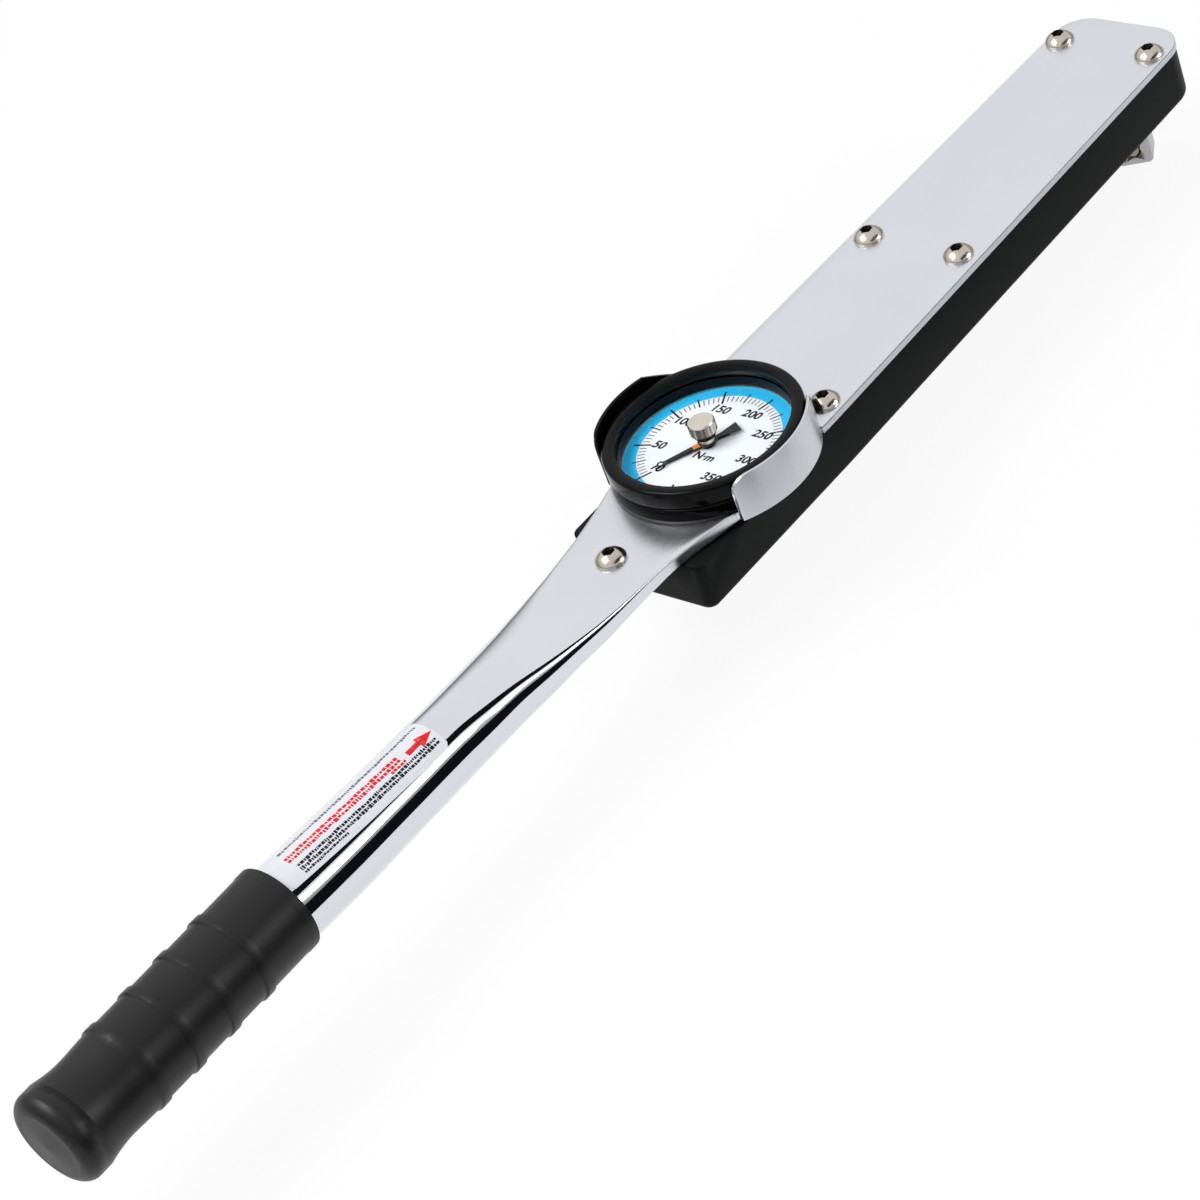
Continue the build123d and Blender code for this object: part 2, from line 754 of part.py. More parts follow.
# Bridge across the beam, which carries the pointer shaft's lower pivot.
bridge_top = bridge_z + bridge_thickness
with BuildPart() as lower_bridge:
    with BuildSketch(Plane.XY.offset(bridge_z)):
        with Locations((bridge_screw_x, 0)):
            SlotOverall(2 * (bridge_post_y + bridge_post_radius), 2 * bridge_post_radius, rotation=90)
        with Locations((dial_x, 0)):
            Circle(4.5)
        with Locations((dial_x, 0)):
            Rectangle(bridge_post_x, 9, align=(Align.MAX, Align.CENTER))
        with Locations(*post_points):
            Circle(bridge_screw_radius + snug, mode=Mode.SUBTRACT)
        with Locations((dial_x, 0)):
            Circle(lower_bush_radius + snug, mode=Mode.SUBTRACT)
    extrude(amount=bridge_thickness)
lower_bridge.part.label = "lower_bridge"
export_step(lower_bridge.part, "parts/lower_bridge.step")

with BuildPart() as bridge_screws:
    with BuildSketch(Plane.XY.offset(bridge_top)):
        with Locations(*post_points):
            Circle(bridge_screw_head)
    extrude(amount=1.3)
    with BuildSketch(Plane.XY.offset(bridge_top + 1.3)):
        with Locations(*post_points):
            Rectangle(3 * bridge_screw_head, 0.6)
    extrude(amount=-0.6, mode=Mode.SUBTRACT)
    with BuildSketch(Plane.XY.offset(bridge_top)):
        with Locations(*post_points):
            Circle(bridge_screw_radius)
    extrude(amount=-(bridge_thickness + 4.5))
bridge_screws.part.label = "bridge_screws"
export_step(bridge_screws.part, "parts/bridge_screws.step")

dial_section = Plane(origin=(dial_x, 0, 0), x_dir=(1, 0, 0), z_dir=(0, -1, 0))
dial_axis = Axis((dial_x, 0, 0), (0, 0, 1))


def ring_at_dial(inner, outer, low, high):
    """A plain ring or disc about the dial's axis, added to the part being built."""
    foot = (Align.CENTER, Align.CENTER, Align.MIN)
    ring = Cylinder(outer, high - low, align=foot, mode=Mode.PRIVATE)
    if inner > 0:
        ring = ring - Cylinder(inner, high - low, align=foot, mode=Mode.PRIVATE)
    add(ring.moved(Location((dial_x, 0, low))))


pinion_z = bridge_top + 2 * running
with BuildPart() as lower_bush:
    ring_at_dial(pivot_radius + running, lower_bush_radius, bridge_z, pinion_z - running)
lower_bush.part.label = "lower_bush"
export_step(lower_bush.part, "parts/lower_bush.step")

# Dial case: a cup whose spigot drops through the plate and is held by a ring nut.
case_floor_z = plate_top - spigot_depth
case_top = plate_top + case_height
rim_top = case_top + rim_height
with BuildPart() as dial_case:
    with BuildSketch(dial_section):
        with BuildLine():
            Polyline(
                (upper_bush_radius + snug, case_floor_z),
                (spigot_radius, case_floor_z),
                (spigot_radius, plate_top),
                (case_radius, plate_top),
                (case_radius, plate_top + 1.2),
                (case_radius - 0.6, case_top - 0.6),
                (case_radius - 1.2, case_top),
                (rim_radius, case_top),
                (rim_radius, rim_top),
                (rim_radius - rim_wall, rim_top),
                (rim_radius - rim_wall, plate_top + case_floor),
                (spigot_radius - case_floor, plate_top + case_floor),
                (spigot_radius - case_floor, case_floor_z + case_floor),
                (upper_bush_radius + snug, case_floor_z + case_floor),
                close=True,
            )
        make_face()
    revolve(axis=dial_axis)
dial_case.part.label = "dial_case"
export_step(dial_case.part, "parts/dial_case.step")

with BuildPart() as case_ring_nut:
    ring_at_dial(
        spigot_radius + running, ring_nut_radius, plate_under - ring_nut_height, plate_under
    )
    with BuildSketch(Plane.XY.offset(plate_under - ring_nut_height)):
        with Locations((dial_x, 0)):
            with PolarLocations(ring_nut_radius, 4, start_angle=45):
                Rectangle(3.0, 4.0)
    extrude(amount=ring_nut_height, mode=Mode.SUBTRACT)
case_ring_nut.part.label = "case_ring_nut"
export_step(case_ring_nut.part, "parts/case_ring_nut.step")

bush_top = case_floor_z + case_floor + 1
with BuildPart() as upper_bush:
    ring_at_dial(shaft_radius + running, upper_bush_radius, case_floor_z, bush_top)
upper_bush.part.label = "upper_bush"
export_step(upper_bush.part, "parts/upper_bush.step")

# Pointer shaft: pivot, involute pinion, journal, hairspring collet and pointer seat.
base_radius = pitch_radius_pinion * cos(radians(pressure_angle))
pinion_tip = pitch_radius_pinion + tooth_addendum
pinion_root = pitch_radius_pinion - tooth_dedendum


def involute(radius):
    """The angle that an involute flank has turned at a radius, from its base."""
    roll = acos(min(base_radius / radius, 1.0))
    return tan(roll) - roll


pinion_half = pi / pinion_teeth * tooth_thickness_share
flank_at_pitch = involute(pitch_radius_pinion)
pinion_flank = [
    (radius, pinion_half + flank_at_pitch - involute(max(radius, base_radius)))
    for radius in (pinion_root - 0.1, base_radius, pitch_radius_pinion, pinion_tip)
]
pinion_top = arm_top + 0.2
collet_z = bush_top + 0.3
shaft_top = dial_face + 1.0
with BuildPart() as pointer_shaft:
    ring_at_dial(0, pivot_radius, bridge_z, pinion_z)
    with BuildSketch(Plane.XY.offset(pinion_z)):
        with Locations((dial_x, 0)):
            Circle(pinion_root)
        for number in range(pinion_teeth):
            middle = 2 * pi * (number + 0.5) / pinion_teeth
            left = [(r, middle + angle) for r, angle in pinion_flank]
            right = [(r, middle - angle) for r, angle in reversed(pinion_flank)]
            with BuildLine():
                Polyline(*[(dial_x + r * cos(a), r * sin(a)) for r, a in left + right], close=True)
            make_face()
    extrude(amount=pinion_top - pinion_z)
    ring_at_dial(0, shaft_radius, pinion_top, collet_z)
    ring_at_dial(0, collet_radius, collet_z, collet_z + collet_height)
    ring_at_dial(0, shaft_top_radius, collet_z + collet_height, shaft_top)
pointer_shaft.part.label = "pointer_shaft"
export_step(pointer_shaft.part, "parts/pointer_shaft.step")

# Hairspring: a flat spiral of half circles from the collet out to a stud on the case floor.
spring_z = collet_z + (collet_height - spring_height) / 2
spring_start = collet_radius + spring_wire / 2 + snug
spring_end = spring_start + spring_turns * spring_gap
with BuildPart() as hairspring:
    with BuildSketch(Plane.XY.offset(spring_z)):
        with BuildLine():
            for offset in (-spring_wire / 2, spring_wire / 2):
                for half_turn in range(2 * spring_turns):
                    shift = spring_gap / 4 * (-1 if half_turn % 2 == 0 else 1)
                    radius = spring_start + (2 * half_turn + 1) * spring_gap / 4 + offset
                    CenterArc((dial_x + shift, 0), radius, 180 * (half_turn % 2), 180)
            for place in (spring_start, spring_end):
                Line(
                    (dial_x + place - spring_wire / 2, 0), (dial_x + place + spring_wire / 2, 0)
                )
        make_face()
    extrude(amount=spring_height)
hairspring.part.label = "hairspring"
export_step(hairspring.part, "parts/hairspring.step")

stud_x = dial_x + spring_end + spring_wire / 2 + stud_radius + snug
with BuildPart() as hairspring_stud:
    with BuildSketch(Plane.XY.offset(case_floor_z + case_floor)):
        with Locations((stud_x, 0)):
            Circle(stud_radius)
    extrude(amount=spring_z + spring_height - case_floor_z - case_floor)
hairspring_stud.part.label = "hairspring_stud"
export_step(hairspring_stud.part, "parts/hairspring_stud.step")

# Seal between the case and the turning bezel
with BuildPart() as bezel_seal:
    ring_at_dial(rim_radius + running, case_radius - 1.3, case_top, bezel_z - running)
bezel_seal.part.label = "bezel_seal"
export_step(bezel_seal.part, "parts/bezel_seal.step")

# Bezel: a black ring that turns on the case rim, so that the dial can be set to zero.
bezel_bore = crystal_radius + 0.1
ledge_z = rim_top + 3 * running
sleeve_radius = rim_radius - rim_wall - 0.3
dial_plate_z = dial_face - dial_plate_thickness
with BuildPart() as bezel:
    with BuildSketch(dial_section):
        with BuildLine():
            Polyline(
                (rim_radius + running, bezel_z),
                (bezel_radius - 0.3, bezel_z),
                (bezel_radius, bezel_z + 0.3),
                (bezel_radius, bezel_top_z - 1.1),
                (bezel_radius - 0.35, bezel_top_z - 0.35),
                (bezel_radius - 1.1, bezel_top_z),
                (bezel_lip_radius + 1.2, bezel_top_z),
                (bezel_lip_radius, bezel_top_z - 0.6),
                (bezel_lip_radius, crystal_top),
                (bezel_bore, crystal_top),
                (bezel_bore, ledge_z),
                (rim_radius + running, ledge_z),
                close=True,
            )
        make_face()
    revolve(axis=dial_axis)
bezel.part.label = "bezel"
export_step(bezel.part, "parts/bezel.step")

with BuildPart() as dial_retainer:
    ring_at_dial(sleeve_radius - spacer_wall, sleeve_radius, dial_plate_z - 0.5, dial_plate_z)
dial_retainer.part.label = "dial_retainer"
export_step(dial_retainer.part, "parts/dial_retainer.step")

with BuildPart() as dial_plate:
    ring_at_dial(dial_hole_radius, sleeve_radius, dial_plate_z, dial_face)
dial_plate.part.label = "dial_plate"
export_step(dial_plate.part, "parts/dial_plate.step")

# A thin copper-toned ring trims the dial's edge, inside the black spacer. The spacer's
# flange is pressed into the bezel under the crystal, and its sleeve carries the dial deep
# inside the case's rim.
with BuildPart() as dial_trim_ring:
    ring_at_dial(
        dial_opening_radius, dial_opening_radius + trim_ring_width, dial_face, dial_face + 0.6
    )
dial_trim_ring.part.label = "dial_trim_ring"
export_step(dial_trim_ring.part, "parts/dial_trim_ring.step")

with BuildPart() as spacer_ring:
    ring_at_dial(sleeve_radius - spacer_wall, sleeve_radius, dial_face, crystal_z)
    ring_at_dial(
        sleeve_radius - spacer_wall, bezel_bore - snug, crystal_z - spacer_flange, crystal_z
    )
spacer_ring.part.label = "spacer_ring"
export_step(spacer_ring.part, "parts/spacer_ring.step")

crystal_bush_radius = stem_radius + running + 0.55
with BuildPart() as crystal:
    ring_at_dial(crystal_bush_radius + snug, crystal_radius, crystal_z, crystal_top - snug)
crystal.part.label = "crystal"
export_step(crystal.part, "parts/crystal.step")

with BuildPart() as crystal_bush:
    ring_at_dial(stem_radius + running, crystal_bush_radius, crystal_z - 0.25, crystal_top)
    ring_at_dial(stem_radius + running, crystal_bush_radius + 0.7, crystal_top, crystal_top + 0.4)
crystal_bush.part.label = "crystal_bush"
export_step(crystal_bush.part, "parts/crystal_bush.step")

# Driven pointer, on a brass hub pressed on the shaft
pointer_z = dial_face + 0.35
pointer_turn = Plane(origin=(dial_x, 0, pointer_z)).rotated((0, 0, zero_direction))
with BuildPart() as main_pointer:
    with BuildSketch(pointer_turn):
        Circle(1.9)
        with BuildLine():
            Polyline(
                (1.2, 0.75), (pointer_length - 1.5, 0.2), (pointer_length - 1.5, -0.2),
                (1.2, -0.75), close=True,
            )
        make_face()
        with BuildLine():
            Polyline((-1.2, 0.6), (-7.5, 0.9), (-7.5, -0.9), (-1.2, -0.6), close=True)
        make_face()
        Circle(shaft_top_radius + snug, mode=Mode.SUBTRACT)
    extrude(amount=pointer_sheet)
main_pointer.part.label = "main_pointer"
export_step(main_pointer.part, "parts/main_pointer.step")

with BuildPart() as pointer_hub:
    ring_at_dial(shaft_top_radius + snug, 1.6, pointer_z + pointer_sheet, shaft_top - running)
pointer_hub.part.label = "pointer_hub"
export_step(pointer_hub.part, "parts/pointer_hub.step")

# Memory pointer: set by the knob, with an eye near its tip and a flared tail.
memory_z = shaft_top + 0.2
memory_plane = Plane(origin=(dial_x, 0, memory_z)).rotated((0, 0, zero_direction))
with BuildPart() as memory_pointer:
    with BuildSketch(memory_plane):
        Circle(3.4)
        with BuildLine():
            Polyline(
                (2.5, 1.05), (loop_place - 1.0, 0.35), (loop_place - 1.0, -0.35),
                (2.5, -1.05), close=True,
            )
        make_face()
        with BuildLine():
            Polyline(
                (loop_place + 0.8, 0.3), (pointer_length, 0.16), (pointer_length, -0.16),
                (loop_place + 0.8, -0.3), close=True,
            )
        make_face()
        with Locations((loop_place, 0)):
            Circle(loop_radius)
            Circle(loop_radius - 0.45, mode=Mode.SUBTRACT)
        with BuildLine():
            Polyline(
                (-2.5, 0.7), (-tail_start, 0.9), (-tail_end, 2.6), (-tail_end, -2.6),
                (-tail_start, -0.9), (-2.5, -0.7), close=True,
            )
        make_face()
        Circle(stem_radius - 0.5 + snug, mode=Mode.SUBTRACT)
    extrude(amount=pointer_sheet)
memory_pointer.part.label = "memory_pointer"
export_step(memory_pointer.part, "parts/memory_pointer.step")

# Reset knob and its stem, which runs in the crystal's bush
knob_top_z = plate_top + knob_top
knob_z = knob_top_z - knob_height
with BuildPart() as reset_knob:
    ring_at_dial(0, stem_radius - 0.5, memory_z, memory_z + pointer_sheet)
    ring_at_dial(0, stem_radius, memory_z + pointer_sheet, knob_z)
    ring_at_dial(0, knob_radius, knob_z, knob_top_z)
    chamfer(reset_knob.faces().sort_by(Axis.Z)[-1].edges(), 0.4)
reset_knob.part.label = "reset_knob"
export_step(reset_knob.part, "parts/reset_knob.step")

# Grip: a ribbed rubber sleeve on the tube, closed by an end cap.
cap_x = tube_end_x - snug
first_ring_x = grip_front_x - first_ring_offset
ring_starts = [first_ring_x - number * grip_ring_pitch for number in range(grip_ring_count)]
grip_bore = tube_grip_radius + snug
with BuildPart() as grip:
    with BuildSketch(Plane.XZ):
        with BuildLine():
            side = [(grip_front_x, tube_z + grip_radius + 0.2)]
            side += [(grip_front_x - 3.2, tube_z + grip_radius + 0.2)]
            side += [(grip_front_x - 3.6, tube_z + grip_radius)]
            for middle_x in ring_starts:
                front_x = middle_x + grip_ring_width / 2
                back_x = middle_x - grip_ring_width / 2
                side += [
                    (front_x, tube_z + grip_radius),
                    (front_x - 0.4, tube_z + grip_ring_radius),
                    (back_x + 0.4, tube_z + grip_ring_radius),
                    (back_x, tube_z + grip_radius),
                ]
            Polyline((grip_front_x, tube_z + grip_bore), *side)
            Spline(
                side[-1],
                (cap_x + grip_flare_length, tube_z + grip_waist_radius),
                (cap_x, tube_z + grip_flare_radius),
                tangents=[(-1, 0), (-1, 0.25)],
            )
            Polyline(
                (cap_x, tube_z + grip_flare_radius),
                (cap_x, tube_z + grip_bore),
                (grip_front_x, tube_z + grip_bore),
            )
        make_face()
    revolve(axis=Axis((0, 0, tube_z), (1, 0, 0)))
grip.part.label = "grip"
export_step(grip.part, "parts/grip.step")

end_x = cap_x - end_cap_length
with BuildPart() as grip_end_cap:
    with BuildSketch(Plane.XZ) as cap_section:
        with BuildLine():
            Polyline(
                (cap_x + cap_spigot_length, tube_z),
                (cap_x + cap_spigot_length, tube_z + tube_bore_radius - running),
                (cap_x - snug, tube_z + tube_bore_radius - running),
                (cap_x - snug, tube_z + grip_flare_radius),
                (end_x + end_cap_round, tube_z + grip_flare_radius),
            )
            RadiusArc(
                (end_x + end_cap_round, tube_z + grip_flare_radius),
                (end_x + 0.8, tube_z + grip_flare_radius - end_cap_round - 0.5),
                -end_cap_round,
            )
            Polyline(
                (end_x + 0.8, tube_z + grip_flare_radius - end_cap_round - 0.5),
                (end_x, tube_z),
                (cap_x + cap_spigot_length, tube_z),
            )
        make_face()
    revolve(axis=Axis((0, 0, tube_z), (1, 0, 0)))
grip_end_cap.part.label = "grip_end_cap"
export_step(grip_end_cap.part, "parts/grip_end_cap.step")
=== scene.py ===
import json
import math
import random
import bmesh
import bpy
from mathutils import Matrix, Vector

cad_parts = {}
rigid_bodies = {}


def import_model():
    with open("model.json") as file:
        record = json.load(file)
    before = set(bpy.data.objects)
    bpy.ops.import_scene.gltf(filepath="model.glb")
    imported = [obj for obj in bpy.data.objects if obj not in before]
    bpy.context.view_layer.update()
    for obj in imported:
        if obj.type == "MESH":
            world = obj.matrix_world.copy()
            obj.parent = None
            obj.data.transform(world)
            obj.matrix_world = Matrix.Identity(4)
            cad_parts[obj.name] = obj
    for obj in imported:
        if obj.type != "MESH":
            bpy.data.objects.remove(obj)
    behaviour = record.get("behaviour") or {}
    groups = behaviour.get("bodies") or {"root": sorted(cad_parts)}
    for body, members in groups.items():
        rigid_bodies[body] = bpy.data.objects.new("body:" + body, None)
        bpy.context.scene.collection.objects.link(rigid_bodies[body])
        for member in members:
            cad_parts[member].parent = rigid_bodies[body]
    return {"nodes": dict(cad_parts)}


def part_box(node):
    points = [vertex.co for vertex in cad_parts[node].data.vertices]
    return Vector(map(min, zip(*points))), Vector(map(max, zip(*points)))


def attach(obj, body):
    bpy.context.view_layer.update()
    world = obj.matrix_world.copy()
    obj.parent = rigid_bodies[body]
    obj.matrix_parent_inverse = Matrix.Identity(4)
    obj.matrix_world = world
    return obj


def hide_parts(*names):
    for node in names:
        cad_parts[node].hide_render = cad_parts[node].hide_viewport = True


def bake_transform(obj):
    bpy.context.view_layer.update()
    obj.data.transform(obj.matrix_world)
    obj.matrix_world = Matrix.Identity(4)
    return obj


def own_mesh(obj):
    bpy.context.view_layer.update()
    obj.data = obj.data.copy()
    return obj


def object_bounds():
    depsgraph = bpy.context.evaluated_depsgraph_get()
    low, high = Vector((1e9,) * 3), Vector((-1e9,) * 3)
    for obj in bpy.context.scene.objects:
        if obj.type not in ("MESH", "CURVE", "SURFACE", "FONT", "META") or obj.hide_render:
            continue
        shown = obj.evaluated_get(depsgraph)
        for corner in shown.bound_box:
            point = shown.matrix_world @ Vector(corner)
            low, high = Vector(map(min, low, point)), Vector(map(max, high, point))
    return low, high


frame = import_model()
nodes = frame["nodes"]
bodies = {name: piece.parent.name.partition(":")[2] for name, piece in nodes.items()}
cad_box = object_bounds()

# The bench and the studio: a white table top just under the drive square, soft white light
# all round and two broad lamps. Only reflections see the black flags, which draw the dark
# bands along the chrome, and the grey paper wall, which shades it.
TABLE_GAP = 0.0006
TABLE_SIZE = 6.0
# The share of plain white in what the eye sees of the table. The rest takes the shadow.
TABLE_GLOW = 0.90
ROOM_WHITE = "#E4E7EC"
ROOM_STRENGTH = 0.78
CAMERA_PLACE = (-0.9099, -0.8078, 0.7921)
CAMERA_TURN = (51.581, 17.328, -50.773)
CAMERA_LENS = 120.06
CAMERA_SHIFT = (-0.01014, -0.01794)


def linear(code):
    """A colour written as in a paint chart, #RRGGBB, as the linear numbers a shader takes."""
    parts = [int(code[place:place + 2], 16) / 255 for place in (1, 3, 5)]
    return [p / 12.92 if p <= 0.04045 else ((p + 0.055) / 1.055) ** 2.4 for p in parts] + [1.0]


def add_node(tree, kind, wires=None, **settings):
    """Adds a node. wires gives each input a value or the output that feeds it."""
    made = tree.nodes.new(kind)
    for name, value in settings.items():
        setattr(made, name, value)
    for place, value in (wires or {}).items():
        if isinstance(value, bpy.types.NodeSocket):
            tree.links.new(value, made.inputs[place])
        else:
            made.inputs[place].default_value = value
    return made


def put_mesh(name, vertices, faces, material):
    """A new mesh piece at the origin, with its place in its points."""
    mesh = bpy.data.meshes.new(name)
    mesh.from_pydata(vertices, [], faces)
    mesh.materials.append(material)
    piece = bpy.data.objects.new(name, mesh)
    bpy.context.scene.collection.objects.link(piece)
    return piece


def flat_panel(name, centre, across, up, material):
    """A flat four-cornered panel about its centre, from two half-sides."""
    centre, across, up = Vector(centre), Vector(across), Vector(up)
    corners = [centre - across - up, centre + across - up, centre + across + up, centre - across + up]
    return put_mesh(name, corners, [(0, 1, 2, 3)], material)


def white_ray(tree):
    """1 for the rays of the eye, of reflections and of glass, which all see the white room."""
    ray = add_node(tree, "ShaderNodeLightPath").outputs
    seen = ray["Is Camera Ray"]
    for kind in ("Is Glossy Ray", "Is Transmission Ray"):
        seen = add_node(tree, "ShaderNodeMath", {0: seen, 1: ray[kind]}, operation="MAXIMUM").outputs[0]
    return seen


# White laminate table top, seen near white with the tool's soft shadow on it
table_top = bpy.data.materials.new("white_laminate")
table_top.use_nodes = True
tree = table_top.node_tree
tree.nodes.clear()
seen = add_node(tree, "ShaderNodeMath", {0: white_ray(tree), 1: TABLE_GLOW}, operation="MULTIPLY")
paint = add_node(tree, "ShaderNodeBsdfDiffuse", {"Color": linear("#F4F4F4")})
glow = add_node(tree, "ShaderNodeEmission", {"Color": (1, 1, 1, 1), "Strength": 1.0})
blend = add_node(
    tree, "ShaderNodeMixShader", {0: seen.outputs[0], 1: paint.outputs[0], 2: glow.outputs[0]}
)
add_node(tree, "ShaderNodeOutputMaterial", {"Surface": blend.outputs[0]})
table = flat_panel(
    "table", (0, 0, cad_box[0][2] - TABLE_GAP), (TABLE_SIZE, 0, 0), (0, TABLE_SIZE, 0), table_top
)

# Black felt flags, each with its middle, half its width and half its height
felt = bpy.data.materials.new("black_felt")
felt.use_nodes = True
felt.node_tree.nodes.clear()
nap = add_node(felt.node_tree, "ShaderNodeEmission", {"Color": linear("#121418"), "Strength": 1.0})
add_node(felt.node_tree, "ShaderNodeOutputMaterial", {"Surface": nap.outputs[0]})
FLAGS = {
    "tube_flag": ((-0.46, -0.110, 0.031), (0.20, 0, 0), (0, 0, 0.030)),
    "line_flag": ((-0.23, -0.110, 0.005), (0.03, 0, 0), (0, 0, 0.004)),
    "shoulder_flag": ((-0.10, -0.110, 0.024), (0.10, 0, 0), (0, 0, 0.023)),
    "neck_flag": ((0.00, -0.60, 0.62), (0.60, 0, 0), (0, 0.09, 0.09)),
}


def for_reflections(piece):
    """Hides a piece of the studio from every ray but those that reflections send."""
    piece.visible_camera = False
    piece.visible_diffuse = False
    piece.visible_shadow = False
    piece.visible_transmission = False


for flag_name, (middle, across, up) in FLAGS.items():
    for_reflections(flat_panel(flag_name, middle, across, up, felt))

# Grey paper round the room, darker towards the floor, which gives the metal its shades
WALL_REACH = 3.0
WALL_HEIGHT = 1.5
WALL_PANELS = 64
WALL_FOOT_SHADE = 0.22
paper = bpy.data.materials.new("grey_paper")
paper.use_nodes = True
tree = paper.node_tree
tree.nodes.clear()
spot = add_node(tree, "ShaderNodeTexCoord").outputs["Object"]
rise = add_node(tree, "ShaderNodeSeparateXYZ", {0: spot}).outputs["Z"]
shade = add_node(
    tree,
    "ShaderNodeMapRange",
    {"Value": rise, "From Max": WALL_HEIGHT, "To Min": WALL_FOOT_SHADE, "To Max": 1.0},
    interpolation_type="SMOOTHSTEP",
)
sheen = add_node(
    tree, "ShaderNodeEmission", {"Color": (1, 1, 1, 1), "Strength": shade.outputs["Result"]}
)
add_node(tree, "ShaderNodeOutputMaterial", {"Surface": sheen.outputs[0]})
corners = []
for number in range(WALL_PANELS):
    angle = 2 * math.pi * number / WALL_PANELS
    corners += [(WALL_REACH * math.cos(angle), WALL_REACH * math.sin(angle), z) for z in (0, WALL_HEIGHT)]
count = len(corners)
panels = [(i, (i + 2) % count, (i + 3) % count, i + 1) for i in range(0, count, 2)]
for_reflections(put_mesh("paper_wall", corners, panels, paper))

world = bpy.data.worlds.new("studio")
bpy.context.scene.world = world
world.use_nodes = True
tree = world.node_tree
tree.nodes.clear()
white = add_node(tree, "ShaderNodeBackground", {"Color": (1, 1, 1, 1), "Strength": 1.0})
room = add_node(tree, "ShaderNodeBackground", {"Color": linear(ROOM_WHITE), "Strength": ROOM_STRENGTH})
blend = add_node(
    tree, "ShaderNodeMixShader", {0: white_ray(tree), 1: room.outputs[0], 2: white.outputs[0]}
)
add_node(tree, "ShaderNodeOutputWorld", {"Surface": blend.outputs[0]})


def lamp(name, place, aim, size, power):
    """A broad soft lamp that points at aim. size is its width and height, power watts."""
    light = bpy.data.lights.new(name, "AREA")
    light.shape = "RECTANGLE"
    light.size, light.size_y = size
    light.energy = power
    holder = bpy.data.objects.new(name, light)
    holder.location = place
    holder.rotation_euler = (Vector(aim) - Vector(place)).to_track_quat("-Z", "Y").to_euler()
    bpy.context.scene.collection.objects.link(holder)


lamp("high_lamp", (-0.9, 0.5, 1.3), (-0.27, 0, 0.04), (0.9, 0.6), 14.0)
lamp("side_lamp", (0.5, -1.1, 0.55), (-0.25, 0, 0.04), (0.7, 0.35), 5.0)

eye = bpy.data.cameras.new("camera")
eye.sensor_fit = "AUTO"
eye.sensor_width = 36
eye.lens = CAMERA_LENS
eye.shift_x, eye.shift_y = CAMERA_SHIFT
eye.clip_start = 0.05
camera = bpy.data.objects.new("camera", eye)
camera.location = CAMERA_PLACE
camera.rotation_euler = [math.radians(turn) for turn in CAMERA_TURN]
bpy.context.scene.collection.objects.link(camera)
bpy.context.scene.camera = camera
bpy.context.scene.view_settings.view_transform = "Standard"

# Bottom cover: a tray moulded in black glass-filled nylon, with a fine spark-eroded grain
# outside. The plate's screws pull it up against the frame.
CREASE = 32.0
WELD = 0.000002
# Nearly all of a noise lies between these
NOISE_LOW = 0.3
NOISE_HIGH = 0.7


def finish(name, tones, patch, rough, tooth, relief, stretch=(1, 1, 1), metal=0.0, specular=0.5):
    """A surface as it is made: two tones in soft patches, and a tooth that stirs gloss and relief.

    patch and tooth are sizes in metres, rough the least and the most roughness, relief metres.
    Real grain and scratches are mostly finer: the tooth is as coarse as it needs to be to show.
    """
    material = bpy.data.materials.new(name)
    material.use_nodes = True
    tree = material.node_tree
    tree.nodes.clear()
    shader = add_node(
        tree, "ShaderNodeBsdfPrincipled", {"Metallic": metal, "Specular IOR Level": specular}
    )
    add_node(tree, "ShaderNodeOutputMaterial", {"Surface": shader.outputs["BSDF"]})
    spot = add_node(tree, "ShaderNodeTexCoord").outputs["Object"]
    laid = add_node(tree, "ShaderNodeMapping", {"Vector": spot, "Scale": stretch}).outputs[0]
    clouds, fine = [
        add_node(tree, "ShaderNodeTexNoise", {"Vector": way, "Scale": 1 / size, "Detail": 3.0}).outputs["Fac"]
        for way, size in ((spot, patch), (laid, tooth))
    ]
    colour = add_node(
        tree,
        "ShaderNodeMix",
        {"Factor": clouds, 6: linear(tones[0]), 7: linear(tones[1])},
        data_type="RGBA",
    ).outputs[2]
    gloss = add_node(
        tree,
        "ShaderNodeMapRange",
        {
            "Value": fine,
            "From Min": NOISE_LOW,
            "From Max": NOISE_HIGH,
            "To Min": rough[0],
            "To Max": rough[1],
        },
    ).outputs["Result"]
    raised = add_node(tree, "ShaderNodeBump", {"Height": fine, "Distance": relief})
    tree.links.new(colour, shader.inputs["Base Color"])
    tree.links.new(gloss, shader.inputs["Roughness"])
    tree.links.new(raised.outputs["Normal"], shader.inputs["Normal"])
    return material, tree, shader, {"spot": spot, "clouds": clouds, "colour": colour, "gloss": gloss}


def dress(names, made):
    """Gives the CAD nodes a finish in place of the record's plain colour."""
    for name in names:
        for slot in nodes[name].material_slots:
            slot.material = made[0]


def welded(name):
    """A copy of a CAD node's loose triangles, joined at their points."""
    work = bmesh.new()
    work.from_mesh(nodes[name].data)
    bmesh.ops.remove_doubles(work, verts=work.verts, dist=WELD)
    return work


def settled(holder, name):
    """The holder's evaluated shape as a plain mesh piece of its own."""
    bpy.context.view_layer.update()
    finished = holder.evaluated_get(bpy.context.evaluated_depsgraph_get())
    mesh = bpy.data.meshes.new_from_object(finished)
    bpy.data.objects.remove(holder)
    piece = bpy.data.objects.new(name, mesh)
    bpy.context.scene.collection.objects.link(piece)
    return piece


